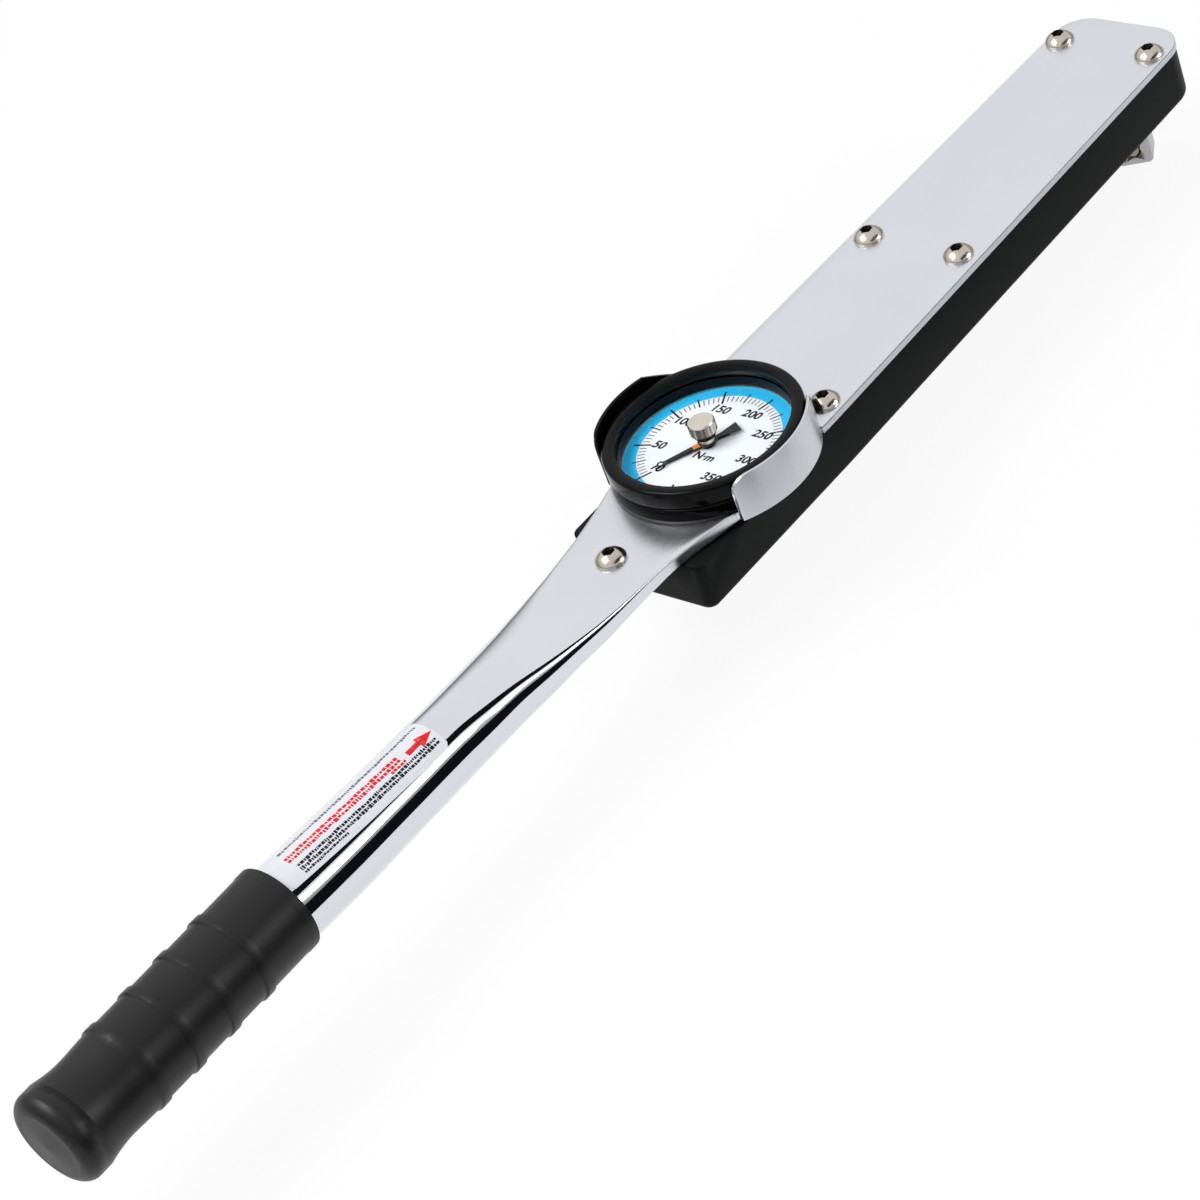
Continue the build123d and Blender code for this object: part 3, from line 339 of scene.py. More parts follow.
def stand_in(name, node, work, made, bend=None):
    """A piece with evenly shaded rounds and crisp edges, in place of a CAD node.

    bend, when given, leaves the piece apart from every body with its place baked into its points; the bodies
    and points in it are not used.
    """
    mesh = bpy.data.meshes.new(name)
    work.to_mesh(mesh)
    work.free()
    mesh.materials.clear()
    mesh.materials.append(made[0])
    mesh.shade_smooth()
    mesh.set_sharp_from_angle(angle=math.radians(CREASE))
    holder = bpy.data.objects.new(name, mesh)
    bpy.context.scene.collection.objects.link(holder)
    even = holder.modifiers.new("even", "WEIGHTED_NORMAL")
    even.keep_sharp = True
    even.weight = 90
    piece = settled(holder, name)
    if bend:
        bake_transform(piece)
    else:
        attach(piece, bodies[node])
    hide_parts(node)
    return piece


# Black glass-filled nylon: dull, with a spark-eroded grain
cover_nylon = finish(
    "black_nylon", ("#0A0B0B", "#0F1111"), 0.030, (0.44, 0.56), 0.0005, 0.000006, specular=0.10
)
stand_in("cover_tray", "bottom_cover", welded("bottom_cover"), cover_nylon)

# Drive bush and thrust washer: sintered bronze, pressed into the cover's boss and laid on
# its floor, with the turned rings that the tool left.

# About half of one wave of a wave texture at a scale of 1, in metres
HALF_WAVE = 0.16


def turned(name, tones, rough, ring=0.0004, axis=(0, 0, 0), relief=0.000002):
    """Metal with rings about an upright axis, as a lathe leaves them, drawn coarser to show.

    ring is half the pitch of the rings, in metres.
    """
    made = finish(name, tones, 0.006, rough, 0.002, relief, metal=1.0)
    material, tree, shader, parts = made
    centred = add_node(
        tree,
        "ShaderNodeMapping",
        {"Vector": parts["spot"], "Location": [-step for step in axis]},
    )
    rings = add_node(
        tree,
        "ShaderNodeTexWave",
        {"Vector": centred.outputs["Vector"], "Scale": HALF_WAVE / ring, "Distortion": 1.0},
        wave_type="RINGS",
        rings_direction="Z",
    ).outputs["Fac"]
    gloss = add_node(
        tree, "ShaderNodeMapRange", {"Value": rings, "To Min": rough[0], "To Max": rough[1]}
    )
    raised = add_node(tree, "ShaderNodeBump", {"Height": rings, "Distance": relief})
    tree.links.new(gloss.outputs["Result"], shader.inputs["Roughness"])
    tree.links.new(raised.outputs["Normal"], shader.inputs["Normal"])
    return made


# Sintered bronze
bush_bronze = turned("sintered_bronze", ("#B78A55", "#96693A"), (0.30, 0.40))
dress(["drive_bush", "thrust_washer"], bush_bronze)

# Drive head: chrome-vanadium steel, forged and ground, with a satin plated square. The
# spring ball sits in a blind hole in one flat and is held by the hole's rolled lip.

# Satin plated tool steel, brushed up and down
square_steel = finish(
    "plated_tool_steel", ("#B2B2B4", "#9C9DA0"), 0.012, (0.24, 0.32), 0.0009, 0.0000003,
    (1, 1, 0.05), metal=1.0,
)
stand_in("square_and_hub", "drive_head", welded("drive_head"), square_steel)
# Polished bearing steel
ball_steel = finish(
    "bearing_steel", ("#A3937E", "#8A7B68"), 0.004, (0.07, 0.12), 0.0008, 0.0000003, metal=1.0
)
stand_in("spring_ball", "detent_ball", welded("detent_ball"), ball_steel)
# Blued spring wire
wire_steel = finish(
    "spring_wire", ("#6C7077", "#4C5058"), 0.003, (0.26, 0.36), 0.0008, 0.000001, metal=1.0
)
dress(["hairspring", "dial_retainer"], wire_steel)
# The way the ball is pressed in, along which the spring's points are measured. In the tool the spring
# shortens by as much as the ball goes in.
BALL_WAY = Vector((0.8571673, 0.5150381, 0))
coil_part = welded("detent_spring")
reach = [spot.co.dot(BALL_WAY) for spot in coil_part.verts]
coil = stand_in("ball_spring", "detent_spring", coil_part, wire_steel)
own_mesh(coil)

# Measuring beam: hardened spring steel, ground flat all over, pinned into the drive head in
# front and into the anchor block behind. The block is steel with a black oxide finish.

# Hardened steel, ground along its length
beam_steel = finish(
    "ground_beam_steel", ("#A9ABAF", "#94969B"), 0.012, (0.25, 0.37), 0.0009, 0.000002,
    (0.04, 1, 1), metal=1.0,
)
# Where the block lets go of the bar, and where the hub takes hold of it
BEND_START = (-0.255, 0, 0.034)
BEND_END = (-0.016, 0, 0.034)
flexing = ("frame", "drive", BEND_START, BEND_END)
bar_part = welded("measuring_beam")
bmesh.ops.triangulate(bar_part, faces=bar_part.faces)
BAR_CUTS = 40
for number in range(1, BAR_CUTS):
    cut_x = BEND_START[0] + (BEND_END[0] - BEND_START[0]) * number / BAR_CUTS
    bmesh.ops.bisect_plane(
        bar_part,
        geom=bar_part.verts[:] + bar_part.edges[:] + bar_part.faces[:],
        plane_co=(cut_x, 0, 0),
        plane_no=(1, 0, 0),
    )
stand_in("flexing_bar", "measuring_beam", bar_part, beam_steel, flexing)
# Dowel steel
dowel_steel = finish(
    "dowel_steel", ("#B9BABC", "#A5A6A8"), 0.006, (0.20, 0.30), 0.0009, 0.000001,
    (1, 1, 0.1), metal=1.0,
)
dress(["beam_pins", "anchor_pins"], dowel_steel)
# Black oxide on milled steel
oxide_steel = finish(
    "black_oxide_steel", ("#2B2C2E", "#3A3A3C"), 0.004, (0.42, 0.58), 0.0008, 0.000004,
    (0.1, 1, 1), metal=0.85,
)
dress(["anchor_block"], oxide_steel)

# Indicator arm and movement: a stamped aluminium arm with a toothed rear edge, on the drive
# head. Its pinion runs between a bronze bush in the brass bridge and one in the case.
DIAL_PLACE = (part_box("dial_plate")[0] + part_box("dial_plate")[1]) / 2

# Stamped aluminium sheet, rolled along its length
arm_sheet = finish(
    "stamped_aluminium", ("#DADBDD", "#C9CBCE"), 0.012, (0.31, 0.43), 0.0009, 0.000003,
    (0.06, 1, 1), metal=1.0,
)
dress(["indicator_arm"], arm_sheet)
# Stamped brass
bridge_brass = finish(
    "stamped_brass", ("#C9A25A", "#B48A42"), 0.008, (0.27, 0.39), 0.0009, 0.000003,
    (1, 0.08, 1), metal=1.0,
)
dress(["lower_bridge", "hairspring_stud"], bridge_brass)
# Turned bearing bronze
pivot_bronze = turned("bearing_bronze", ("#BC8E58", "#A0733F"), (0.22, 0.32), 0.0003, DIAL_PLACE)
dress(["lower_bush", "upper_bush"], pivot_bronze)
# Turned and polished pivot steel
shaft_steel = turned("pivot_steel", ("#C8C9CB", "#B6B7BA"), (0.12, 0.22), 0.0003, DIAL_PLACE)
dress(["pointer_shaft"], shaft_steel)

# Frame: the plate, neck and tube are one steel forging, bright chromed. The plate's top is
# sanded satin before plating, and the polish grows along the neck to a mirror on the tube.
# The neck and tube are drawn here as one smooth skin, because a mirror shows every facet.
SATIN_END_X = -0.268
MIRROR_START_X = -0.325
MIRROR_ROUGHNESS = (0.03, 0.07)
NECK_START_X = -0.2519
RING_POINTS = 144
BORE_RADIUS = 0.0102
BORE_END_X = -0.383
BORE_TIP_X = -0.378
# Each station's distance behind the neck's start, then half width, top, depth and the power
# of its rounding: 2 is an ellipse, 10 nearly a rectangle.
STATIONS = (
    (0.0000, 0.0266, 0.0480, 0.0050, 10.0),
    (0.0101, 0.0242, 0.0480, 0.0050, 10.0),
    (0.0198, 0.0217, 0.0480, 0.0051, 10.0),
    (0.0331, 0.0193, 0.0480, 0.0057, 9.0),
    (0.0460, 0.0180, 0.0480, 0.0070, 6.5),
    (0.0591, 0.0170, 0.0488, 0.0099, 4.5),
    (0.0731, 0.0158, 0.0506, 0.0135, 3.3),
    (0.0841, 0.0149, 0.0523, 0.0170, 2.8),
    (0.0981, 0.0137, 0.0544, 0.0209, 2.4),
    (0.1081, 0.0133, 0.0556, 0.0232, 2.15),
    (0.1221, 0.0128, 0.0567, 0.0254, 2.0),
    (0.1481, 0.0130, 0.0574, 0.0260, 2.0),
    (0.1781, 0.0135, 0.0587, 0.0271, 2.0),
    (0.1981, 0.0136, 0.0597, 0.0272, 2.0),
    (0.2041, 0.0133, 0.0601, 0.0266, 2.0),
    (0.2911, 0.0133, 0.0601, 0.0266, 2.0),
)
SKIN_STEP = 0.0015


def lean(table, place, column):
    """How a column of the table changes at a station, so that the curve never overshoots."""
    rises = [
        (after[column] - before[column]) / (after[0] - before[0])
        for before, after in zip(table[:-1], table[1:])
    ]
    if place in (0, len(rises)):
        return rises[min(place, len(rises) - 1)]
    before, after = rises[place - 1], rises[place]
    return 2 * before * after / (before + after) if before * after > 0 else 0.0


def faired(table, run):
    """Every size at a distance, carried smoothly from station to station."""
    place = max(number for number in range(len(table) - 1) if run >= table[number][0])
    first, second = table[place], table[place + 1]
    gap = second[0] - first[0]
    share = (run - first[0]) / gap
    sizes = []
    for column in range(1, len(first)):
        start, end = first[column], second[column]
        out, back = lean(table, place, column) * gap, lean(table, place + 1, column) * gap
        sizes.append(
            start * (1 + 2 * share) * (1 - share) ** 2
            + end * (3 - 2 * share) * share**2
            + out * share * (1 - share) ** 2
            - back * share**2 * (1 - share)
        )
    return sizes


def skin_ring(x, half, top, depth, power):
    """One section of the neck or tube, a rounded form about its own middle."""
    points = []
    for number in range(RING_POINTS):
        angle = 2 * math.pi * number / RING_POINTS
        across, up = math.cos(angle), math.sin(angle)
        reach = (abs(across) ** power + abs(up) ** power) ** (-1 / power)
        points.append((x, half * reach * across, top - depth / 2 * (1 - reach * up)))
    return points


def skinned(work, rings, tip=None):
    """Skins rings of points one after another. The first is capped, the last drawn to a tip."""
    rows = [[work.verts.new(point) for point in ring] for ring in rings]
    count = len(rows[0])
    for near, far in zip(rows[:-1], rows[1:]):
        for number in range(count):
            after = (number + 1) % count
            work.faces.new((near[number], near[after], far[after], far[number]))
    work.faces.new(rows[0])
    if tip is None:
        work.faces.new(rows[-1])
    else:
        end = work.verts.new(tip)
        for number in range(count):
            work.faces.new((rows[-1][number], rows[-1][(number + 1) % count], end))
    bmesh.ops.recalc_face_normals(work, faces=work.faces)


# Chrome plate, satin in front and mirror bright behind
frame_chrome = finish(
    "chrome_plate", ("#D3D6DC", "#DCDEE3"), 0.045, (0.28, 0.33), 0.0011, 0.00000003,
    (0.12, 1, 1), metal=1.0,
)
material, tree, shader, parts = frame_chrome
along = add_node(tree, "ShaderNodeSeparateXYZ", {0: parts["spot"]}).outputs["X"]
mirror = add_node(
    tree,
    "ShaderNodeMapRange",
    {"Value": along, "From Min": SATIN_END_X, "From Max": MIRROR_START_X},
    interpolation_type="SMOOTHSTEP",
).outputs["Result"]
polish = add_node(
    tree,
    "ShaderNodeMapRange",
    {"Value": parts["clouds"], "To Min": MIRROR_ROUGHNESS[0], "To Max": MIRROR_ROUGHNESS[1]},
)
tree.links.new(
    add_node(
        tree, "ShaderNodeMix", {"Factor": mirror, 2: parts["gloss"], 3: polish.outputs["Result"]}
    ).outputs[0],
    shader.inputs["Roughness"],
)
faded = add_node(tree, "ShaderNodeMapRange", {"Value": mirror, "To Min": 1.0, "To Max": 0.0})
relief = next(node for node in tree.nodes if node.type == "BUMP")
tree.links.new(faded.outputs["Result"], relief.inputs["Strength"])

# The plate's edge is painted in bands of reflection: a light grey, and a dark line just under the bevel
EDGE_LINE_Z = (0.04715, 0.0475)
EDGE_REFLECTION_TONES = ("#BCC2C8", "#6E757B")
upright = add_node(tree, "ShaderNodeSeparateXYZ", {0: parts["spot"]}).outputs["Z"]
under = add_node(tree, "ShaderNodeMath", {0: upright, 1: EDGE_LINE_Z[1]}, operation="LESS_THAN")
line = add_node(tree, "ShaderNodeMath", {0: upright, 1: EDGE_LINE_Z[0]}, operation="GREATER_THAN")
ahead = add_node(tree, "ShaderNodeMath", {0: along, 1: NECK_START_X}, operation="GREATER_THAN")
edge = add_node(
    tree, "ShaderNodeMath", {0: under.outputs[0], 1: ahead.outputs[0]}, operation="MULTIPLY"
)
# Painted reflection: light grey down the edge, with a dark line just under the bevel
painted_edge_reflection = add_node(
    tree,
    "ShaderNodeMix",
    {"Factor": line.outputs[0], 6: linear(EDGE_REFLECTION_TONES[0]), 7: linear(EDGE_REFLECTION_TONES[1])},
    data_type="RGBA",
)
toned = add_node(
    tree,
    "ShaderNodeMix",
    {"Factor": edge.outputs[0], 6: parts["colour"], 7: painted_edge_reflection.outputs[2]},
    data_type="RGBA",
)
tree.links.new(toned.outputs[2], shader.inputs["Base Color"])

plate_part = welded("handle_frame")
cut = bmesh.ops.bisect_plane(
    plate_part,
    geom=plate_part.verts[:] + plate_part.edges[:] + plate_part.faces[:],
    plane_co=(NECK_START_X, 0, 0),
    plane_no=(1, 0, 0),
    clear_inner=True,
)
cut_edges = [edge for edge in cut["geom_cut"] if isinstance(edge, bmesh.types.BMEdge)]
bmesh.ops.holes_fill(plate_part, edges=cut_edges)
shaped = STATIONS[-2][0]
runs = [SKIN_STEP * number for number in range(int(shaped / SKIN_STEP) + 1)]
runs += [shaped, STATIONS[-1][0]]
rings = [skin_ring(NECK_START_X - run, *faired(STATIONS, run)) for run in runs]
tube_middle = STATIONS[-1][2] - STATIONS[-1][3] / 2
bore = (BORE_RADIUS, tube_middle + BORE_RADIUS, 2 * BORE_RADIUS, 2.0)
rings.append(skin_ring(NECK_START_X - STATIONS[-1][0], *bore))
rings.append(skin_ring(BORE_END_X, *bore))
neck_part = bmesh.new()
skinned(neck_part, rings, (BORE_TIP_X, 0, tube_middle))
neck_mesh = bpy.data.meshes.new("neck_part")
neck_part.to_mesh(neck_mesh)
neck_part.free()
plate_part.from_mesh(neck_mesh)
bpy.data.meshes.remove(neck_mesh)
stand_in("frame_forging", "handle_frame", plate_part, frame_chrome)

# Guards: two pressed steel walls welded to the plate's round edge, chromed with the frame. Their
# inner faces are painted black, a painted reflection of the black bezel that the chrome mirrors.


def round_the_dial(made, inner, outer, edge, blur=0.0001, metal=False):
    """Paints a finish in two pairs of tones, inside and outside a radius about the dial."""
    material, tree, shader, parts = made
    centred = add_node(
        tree,
        "ShaderNodeMapping",
        {
            "Vector": parts["spot"],
            "Location": (-DIAL_PLACE[0], -DIAL_PLACE[1], 0),
            "Scale": (1, 1, 0),
        },
    )
    radius = add_node(
        tree, "ShaderNodeVectorMath", {0: centred.outputs["Vector"]}, operation="LENGTH"
    ).outputs["Value"]
    outside = add_node(
        tree, "ShaderNodeMapRange", {"Value": radius, "From Min": edge, "From Max": edge + blur}
    ).outputs["Result"]
    shades = [
        add_node(
            tree,
            "ShaderNodeMix",
            {"Factor": parts["clouds"], 6: linear(first), 7: linear(second)},
            data_type="RGBA",
        ).outputs[2]
        for first, second in (inner, outer)
    ]
    mixed = add_node(
        tree, "ShaderNodeMix", {"Factor": outside, 6: shades[0], 7: shades[1]}, data_type="RGBA"
    )
    tree.links.new(mixed.outputs[2], shader.inputs["Base Color"])
    if metal:
        tree.links.new(outside, shader.inputs["Metallic"])
    return made


GUARD_CHROME = ("#C3C7CE", "#CED1D6")
# Painted reflection of the black bezel, for the guards' inner faces
GUARD_REFLECTION_BLACK = ("#050606", "#080909")
# How far from the dial's middle the painted black reflection of the bezel reaches on each guard
NEAR_REFLECTION_END = 0.03505
FAR_REFLECTION_END = 0.03585
# Satin chrome outside and on the rim, with the painted black reflection of the bezel inside
near_finish = finish(
    "near_guard_chrome", GUARD_CHROME, 0.030, (0.27, 0.31), 0.0011, 0.00000005, (1, 1, 0.2),
    specular=0.08,
)
round_the_dial(near_finish, GUARD_REFLECTION_BLACK, GUARD_CHROME, NEAR_REFLECTION_END, metal=True)
stand_in("near_guard_wall", "near_guard", welded("near_guard"), near_finish)
# Satin chrome outside, with the painted black reflection of the bezel inside and on the rim
far_finish = finish(
    "far_guard_chrome", GUARD_CHROME, 0.030, (0.18, 0.22), 0.0011, 0.00000005, (1, 1, 0.2),
    specular=0.08,
)
round_the_dial(far_finish, GUARD_REFLECTION_BLACK, GUARD_CHROME, FAR_REFLECTION_END, metal=True)
stand_in("far_guard_wall", "far_guard", welded("far_guard"), far_finish)

# Dial case: a die-cast cup, stove enamelled gloss black, whose spigot drops through the
# plate and takes a slotted steel ring nut from below.

# Stoved gloss enamel with a trace of orange peel
case_enamel = finish(
    "black_enamel", ("#020202", "#040404"), 0.015, (0.10, 0.16), 0.0016, 0.0000008, specular=0.10
)
stand_in("enamelled_case", "dial_case", welded("dial_case"), case_enamel)
# Plain turned steel
nut_steel = turned("plain_steel", ("#A9AAAC", "#8E8F92"), (0.28, 0.40), 0.0005, DIAL_PLACE)
dress(["case_ring_nut"], nut_steel)

# Bezel: turned aluminium, sprayed gloss black, which turns on the case over a rubber seal. It
# carries the dial, a spring retainer under it, a copper-toned trim ring and a black spacer
# below the crystal.

# Sprayed black on the turned bezel
bezel_black = finish(
    "bezel_black", ("#030303", "#060606"), 0.012, (0.10, 0.16), 0.0012, 0.0000006, specular=0.10
)
stand_in("bezel_ring", "bezel", welded("bezel"), bezel_black)
# Moulded black acetal
spacer_acetal = finish(
    "black_acetal", ("#060606", "#0A0A0A"), 0.006, (0.30, 0.42), 0.0006, 0.000002, specular=0.15
)
dress(["spacer_ring", "crystal_bush"], spacer_acetal)
# Nitrile rubber
seal_rubber = finish(
    "nitrile_rubber", ("#0B0B0B", "#121212"), 0.004, (0.6, 0.75), 0.0012, 0.00001, specular=0.2
)
dress(["bezel_seal"], seal_rubber)
# Copper flash on a spun ring
trim_copper = turned("copper_flash", ("#DDBBA8", "#CDA692"), (0.20, 0.30), 0.0003, DIAL_PLACE)
dress(["dial_trim_ring"], trim_copper)

# Dial plate: white lacquered aluminium with a printed blue rim, black divisions and black
# figures. The scale runs clockwise from 0 and has 70 divisions of 5, up to 350.
BLUE_INNER = 0.0245
INK_LIFT = 0.00003
# Degrees: of the zero from +X, from one fifty to the next, and of the end mark from the zero
ZERO_ANGLE = 150.0
FIFTY_STEP = 41.5
END_MARK_TURN = 326.0
FIFTIES = 7
DIVISIONS_IN_FIFTY = 10
DIAL_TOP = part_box("dial_plate")[1][2]
LACQUER = ("#F1F6F9", "#F8FBFC")
BLUE = ("#22C2FA", "#35CBFF")

# Lacquer, and the blue printing by distance from the dial's middle
dial_lacquer = finish("dial_lacquer", LACQUER, 0.018, (0.34, 0.44), 0.0009, 0.000001, specular=0.3)
round_the_dial(dial_lacquer, LACQUER, BLUE, BLUE_INNER)
dress(["dial_plate"], dial_lacquer)
# Black printing ink, laid a little unevenly by the pad
dial_ink = finish("dial_ink", ("#101216", "#1A1D22"), 0.0006, (0.42, 0.55), 0.0006, 0.000001, specular=0.2)


def new_group(name, first, sizes, last):
    """A Geometry Nodes tree. first and last name an input and its kind, sizes plain numbers."""
    group = bpy.data.node_groups.new(name, "GeometryNodeTree")
    kinds = dict([first, *((size, "Float") for size in sizes), last])
    sockets = {
        label: group.interface.new_socket(label, in_out="INPUT", socket_type=f"NodeSocket{kind}")
        for label, kind in kinds.items()
    }
    group.interface.new_socket("Geometry", in_out="OUTPUT", socket_type="NodeSocketGeometry")
    given = group.nodes.new("NodeGroupInput").outputs
    return group, given, {label: socket.identifier for label, socket in sockets.items()}


def end_group(group, copies, material):
    """Ends a tree with its copies made real, in the finish that it is given."""
    real = add_node(group, "GeometryNodeRealizeInstances", {"Geometry": copies.outputs["Instances"]})
    finished = add_node(
        group, "GeometryNodeSetMaterial", {"Geometry": real.outputs[0], "Material": material}
    )
    add_node(group, "NodeGroupOutput", {"Geometry": finished.outputs[0]})


def tick_tree():
    """A run of equal printed ticks clockwise about the origin, with the print's ink."""
    sizes = ("Start", "Step", "Inner Radius", "Length", "Width")
    group, given, inputs = new_group("tick_run", ("Count", "Int"), sizes, ("Ink", "Material"))
    number = add_node(group, "GeometryNodeInputIndex").outputs[0]
    swept = add_node(group, "ShaderNodeMath", {0: number, 1: given["Step"]}, operation="MULTIPLY")
    angle = add_node(
        group, "ShaderNodeMath", {0: given["Start"], 1: swept.outputs[0]}, operation="SUBTRACT"
    ).outputs[0]
    half = add_node(group, "ShaderNodeMath", {0: given["Length"], 1: 0.5}, operation="MULTIPLY")
    middle = add_node(
        group, "ShaderNodeMath", {0: given["Inner Radius"], 1: half.outputs[0]}, operation="ADD"
    )
    across, up = [
        add_node(group, "ShaderNodeMath", {0: angle}, operation=way).outputs[0] for way in ("COSINE", "SINE")
    ]
    outward = add_node(group, "ShaderNodeCombineXYZ", {0: across, 1: up})
    spot = add_node(
        group,
        "ShaderNodeVectorMath",
        {0: outward.outputs[0], "Scale": middle.outputs[0]},
        operation="SCALE",
    )
    points = add_node(group, "GeometryNodeMeshLine", {"Count": given["Count"]})
    laid = add_node(
        group,
        "GeometryNodeSetPosition",
        {"Geometry": points.outputs["Mesh"], "Position": spot.outputs["Vector"]},
    )
    mark = add_node(
        group,
        "GeometryNodeMeshGrid",
        {"Size X": given["Length"], "Size Y": given["Width"], "Vertices X": 2, "Vertices Y": 2},
    )
    turn = add_node(group, "ShaderNodeCombineXYZ", {2: angle})
    run = add_node(
        group,
        "GeometryNodeInstanceOnPoints",
        {
            "Points": laid.outputs["Geometry"],
            "Instance": mark.outputs["Mesh"],
            "Rotation": turn.outputs[0],
        },
    )
    end_group(group, run, given["Ink"])
    return group, inputs


def grown(name, mesh, tree, inputs, sizes):
    """A mesh passed through a Geometry Nodes tree, as a plain mesh piece."""
    holder = bpy.data.objects.new(name, mesh)
    bpy.context.scene.collection.objects.link(holder)
    grower = holder.modifiers.new("grower", "NODES")
    grower.node_group = tree
    for socket_name, value in sizes.items():
        grower[inputs[socket_name]] = value
    return settled(holder, name)


FIVES = FIFTIES * DIVISIONS_IN_FIFTY
# Each run: how many, degrees to its first tick and between ticks, inner radius, length, width
TICKS = {
    "five_ticks": (FIVES + 1, 0.0, FIFTY_STEP / DIVISIONS_IN_FIFTY, 0.0216, 0.0026, 0.00032),
    "middle_ticks": (FIFTIES, FIFTY_STEP / 2, FIFTY_STEP, 0.0212, 0.0046, 0.00050),
    "fifty_ticks": (FIFTIES + 1, 0.0, FIFTY_STEP, 0.0206, 0.0062, 0.00070),
    "end_tick": (1, END_MARK_TURN, FIFTY_STEP, 0.0206, 0.0062, 0.00070),
}
tick_group, tick_inputs = tick_tree()
for tick_name, (count, first, step, inner, length, width) in TICKS.items():
    ticks = grown(
        tick_name,
        bpy.data.meshes.new(tick_name),
        tick_group,
        tick_inputs,
        {
            "Count": count,
            "Start": math.radians(ZERO_ANGLE - first),
            "Step": math.radians(step),
            "Inner Radius": inner,
            "Length": length,
            "Width": width,
            "Ink": dial_ink[0],
        },
    )
    # Each run lies a little above the one before, so that no two share a plane
    height = DIAL_TOP + INK_LIFT * (1 + list(TICKS).index(tick_name) / 3)
    ticks.data.transform(Matrix.Translation((DIAL_PLACE[0], DIAL_PLACE[1], height)))
    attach(ticks, "bezel")

FIGURE_HEIGHT = 0.0048
FIGURE_RADIUS = 0.0178
FIGURE_TURN = -90.0
UNIT_HEIGHT = 0.0046
UNIT_SHIFT = (-0.0058, -0.0024)
LETTER_SLANT = 0.16
INK_SPREAD = 0.00015


def printed(name, words, size, place, turn, made):
    """Words as flat ink, centred on a place of the dial and turned."""
    letters = bpy.data.curves.new(name, "FONT")
    letters.body = words
    letters.size = size
    letters.shear = LETTER_SLANT
    letters.offset = INK_SPREAD
    letters.align_x = "CENTER"
    letters.align_y = "CENTER"
    holder = bpy.data.objects.new(name, letters)
    bpy.context.scene.collection.objects.link(holder)
    piece = settled(holder, name)
    piece.data.materials.clear()
    piece.data.materials.append(made[0])
    spin = Matrix.Rotation(math.radians(turn), 4, "Z")
    piece.data.transform(Matrix.Translation(place) @ spin)
    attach(piece, "bezel")


dial_middle = Vector((DIAL_PLACE[0], DIAL_PLACE[1], DIAL_TOP + INK_LIFT))
for number in range(FIFTIES + 1):
    angle = math.radians(ZERO_ANGLE - FIFTY_STEP * number)
    place = dial_middle + FIGURE_RADIUS * Vector((math.cos(angle), math.sin(angle), 0))
    words = str(50 * number)
    printed(f"figure_{words}", words, FIGURE_HEIGHT, place, FIGURE_TURN, dial_ink)
unit_place = dial_middle + Vector((*UNIT_SHIFT, 0))
printed("unit_mark", "N·m", UNIT_HEIGHT, unit_place, FIGURE_TURN, dial_ink)

# Pointers: thin blackened brass, the driven one on a turned hub pressed on the shaft, the
# memory one under the crystal, riveted to the knob's stem. Its root is worn to bare brass
# on the side of the tip.
BRASS_START = 0.0031
BRASS_END = 0.0054
POINTER_BLACK = ("#141312", "#1E1C1B")
WORN_BRASS = "#E08A2E"

# Black lacquer on sheet brass
dress(
    ["main_pointer"],
    finish("pointer_lacquer", POINTER_BLACK, 0.002, (0.30, 0.42), 0.0005, 0.000001, specular=0.3),
)
# The same lacquer, bare brass along a short stretch of the pointer's root
memory_lacquer = finish(
    "memory_lacquer", POINTER_BLACK, 0.002, (0.26, 0.38), 0.0005, 0.000001, specular=0.3
)
material, tree, shader, parts = memory_lacquer
turned_spot = add_node(
    tree,
    "ShaderNodeMapping",
    {
        "Vector": parts["spot"],
        "Location": (DIAL_PLACE[0], DIAL_PLACE[1], 0),
        "Rotation": (0, 0, math.radians(ZERO_ANGLE)),
    },
    vector_type="TEXTURE",
)
along = add_node(tree, "ShaderNodeSeparateXYZ", {0: turned_spot.outputs[0]}).outputs["X"]
behind = add_node(
    tree, "ShaderNodeMath", {0: along, 1: BRASS_START}, operation="GREATER_THAN"
).outputs[0]
before = add_node(tree, "ShaderNodeMath", {0: along, 1: BRASS_END}, operation="LESS_THAN").outputs[0]
bare = add_node(tree, "ShaderNodeMath", {0: behind, 1: before}, operation="MULTIPLY").outputs[0]
brass = add_node(
    tree,
    "ShaderNodeMix",
    {"Factor": bare, 6: parts["colour"], 7: linear(WORN_BRASS)},
    data_type="RGBA",
)
tree.links.new(brass.outputs[2], shader.inputs["Base Color"])
dress(["memory_pointer"], memory_lacquer)
# Turned brass hub
hub_brass = turned("hub_brass", ("#DE9A3C", "#C9832E"), (0.20, 0.32), 0.0002, DIAL_PLACE)
dress(["pointer_hub"], hub_brass)

# Crystal: a flat acrylic lens, 1 mm thick, held down by the bezel's lip. The knob's stem
# passes through a black bush in its middle.

# How much of the lens the eye meets: almost none, so that the dial stays clean behind it
CRYSTAL_ALPHA = 0.003
# Clear acrylic, polished on both faces: it has no tooth, so none reaches its gloss or relief
lens_acrylic = finish("clear_acrylic", ("#FBFCFC", "#FFFFFF"), 0.020, (0, 0), 0.010, 0)
lens_shader = lens_acrylic[2]
lens_shader.inputs["Transmission Weight"].default_value = 1.0
lens_shader.inputs["Alpha"].default_value = CRYSTAL_ALPHA
for polished in ("Roughness", "Normal"):
    lens_acrylic[1].links.remove(lens_shader.inputs[polished].links[0])
lens_shader.inputs["Roughness"].default_value = 0.0
dress(["crystal"], lens_acrylic)

# Reset knob: turned from stainless bar and left bright, with a faced top and a fine straight
# knurl down its side. Its stem runs in the crystal's bush and is riveted to the pointer below.
KNOB_TURNS = 180
KNURL_DEPTH = 0.00009
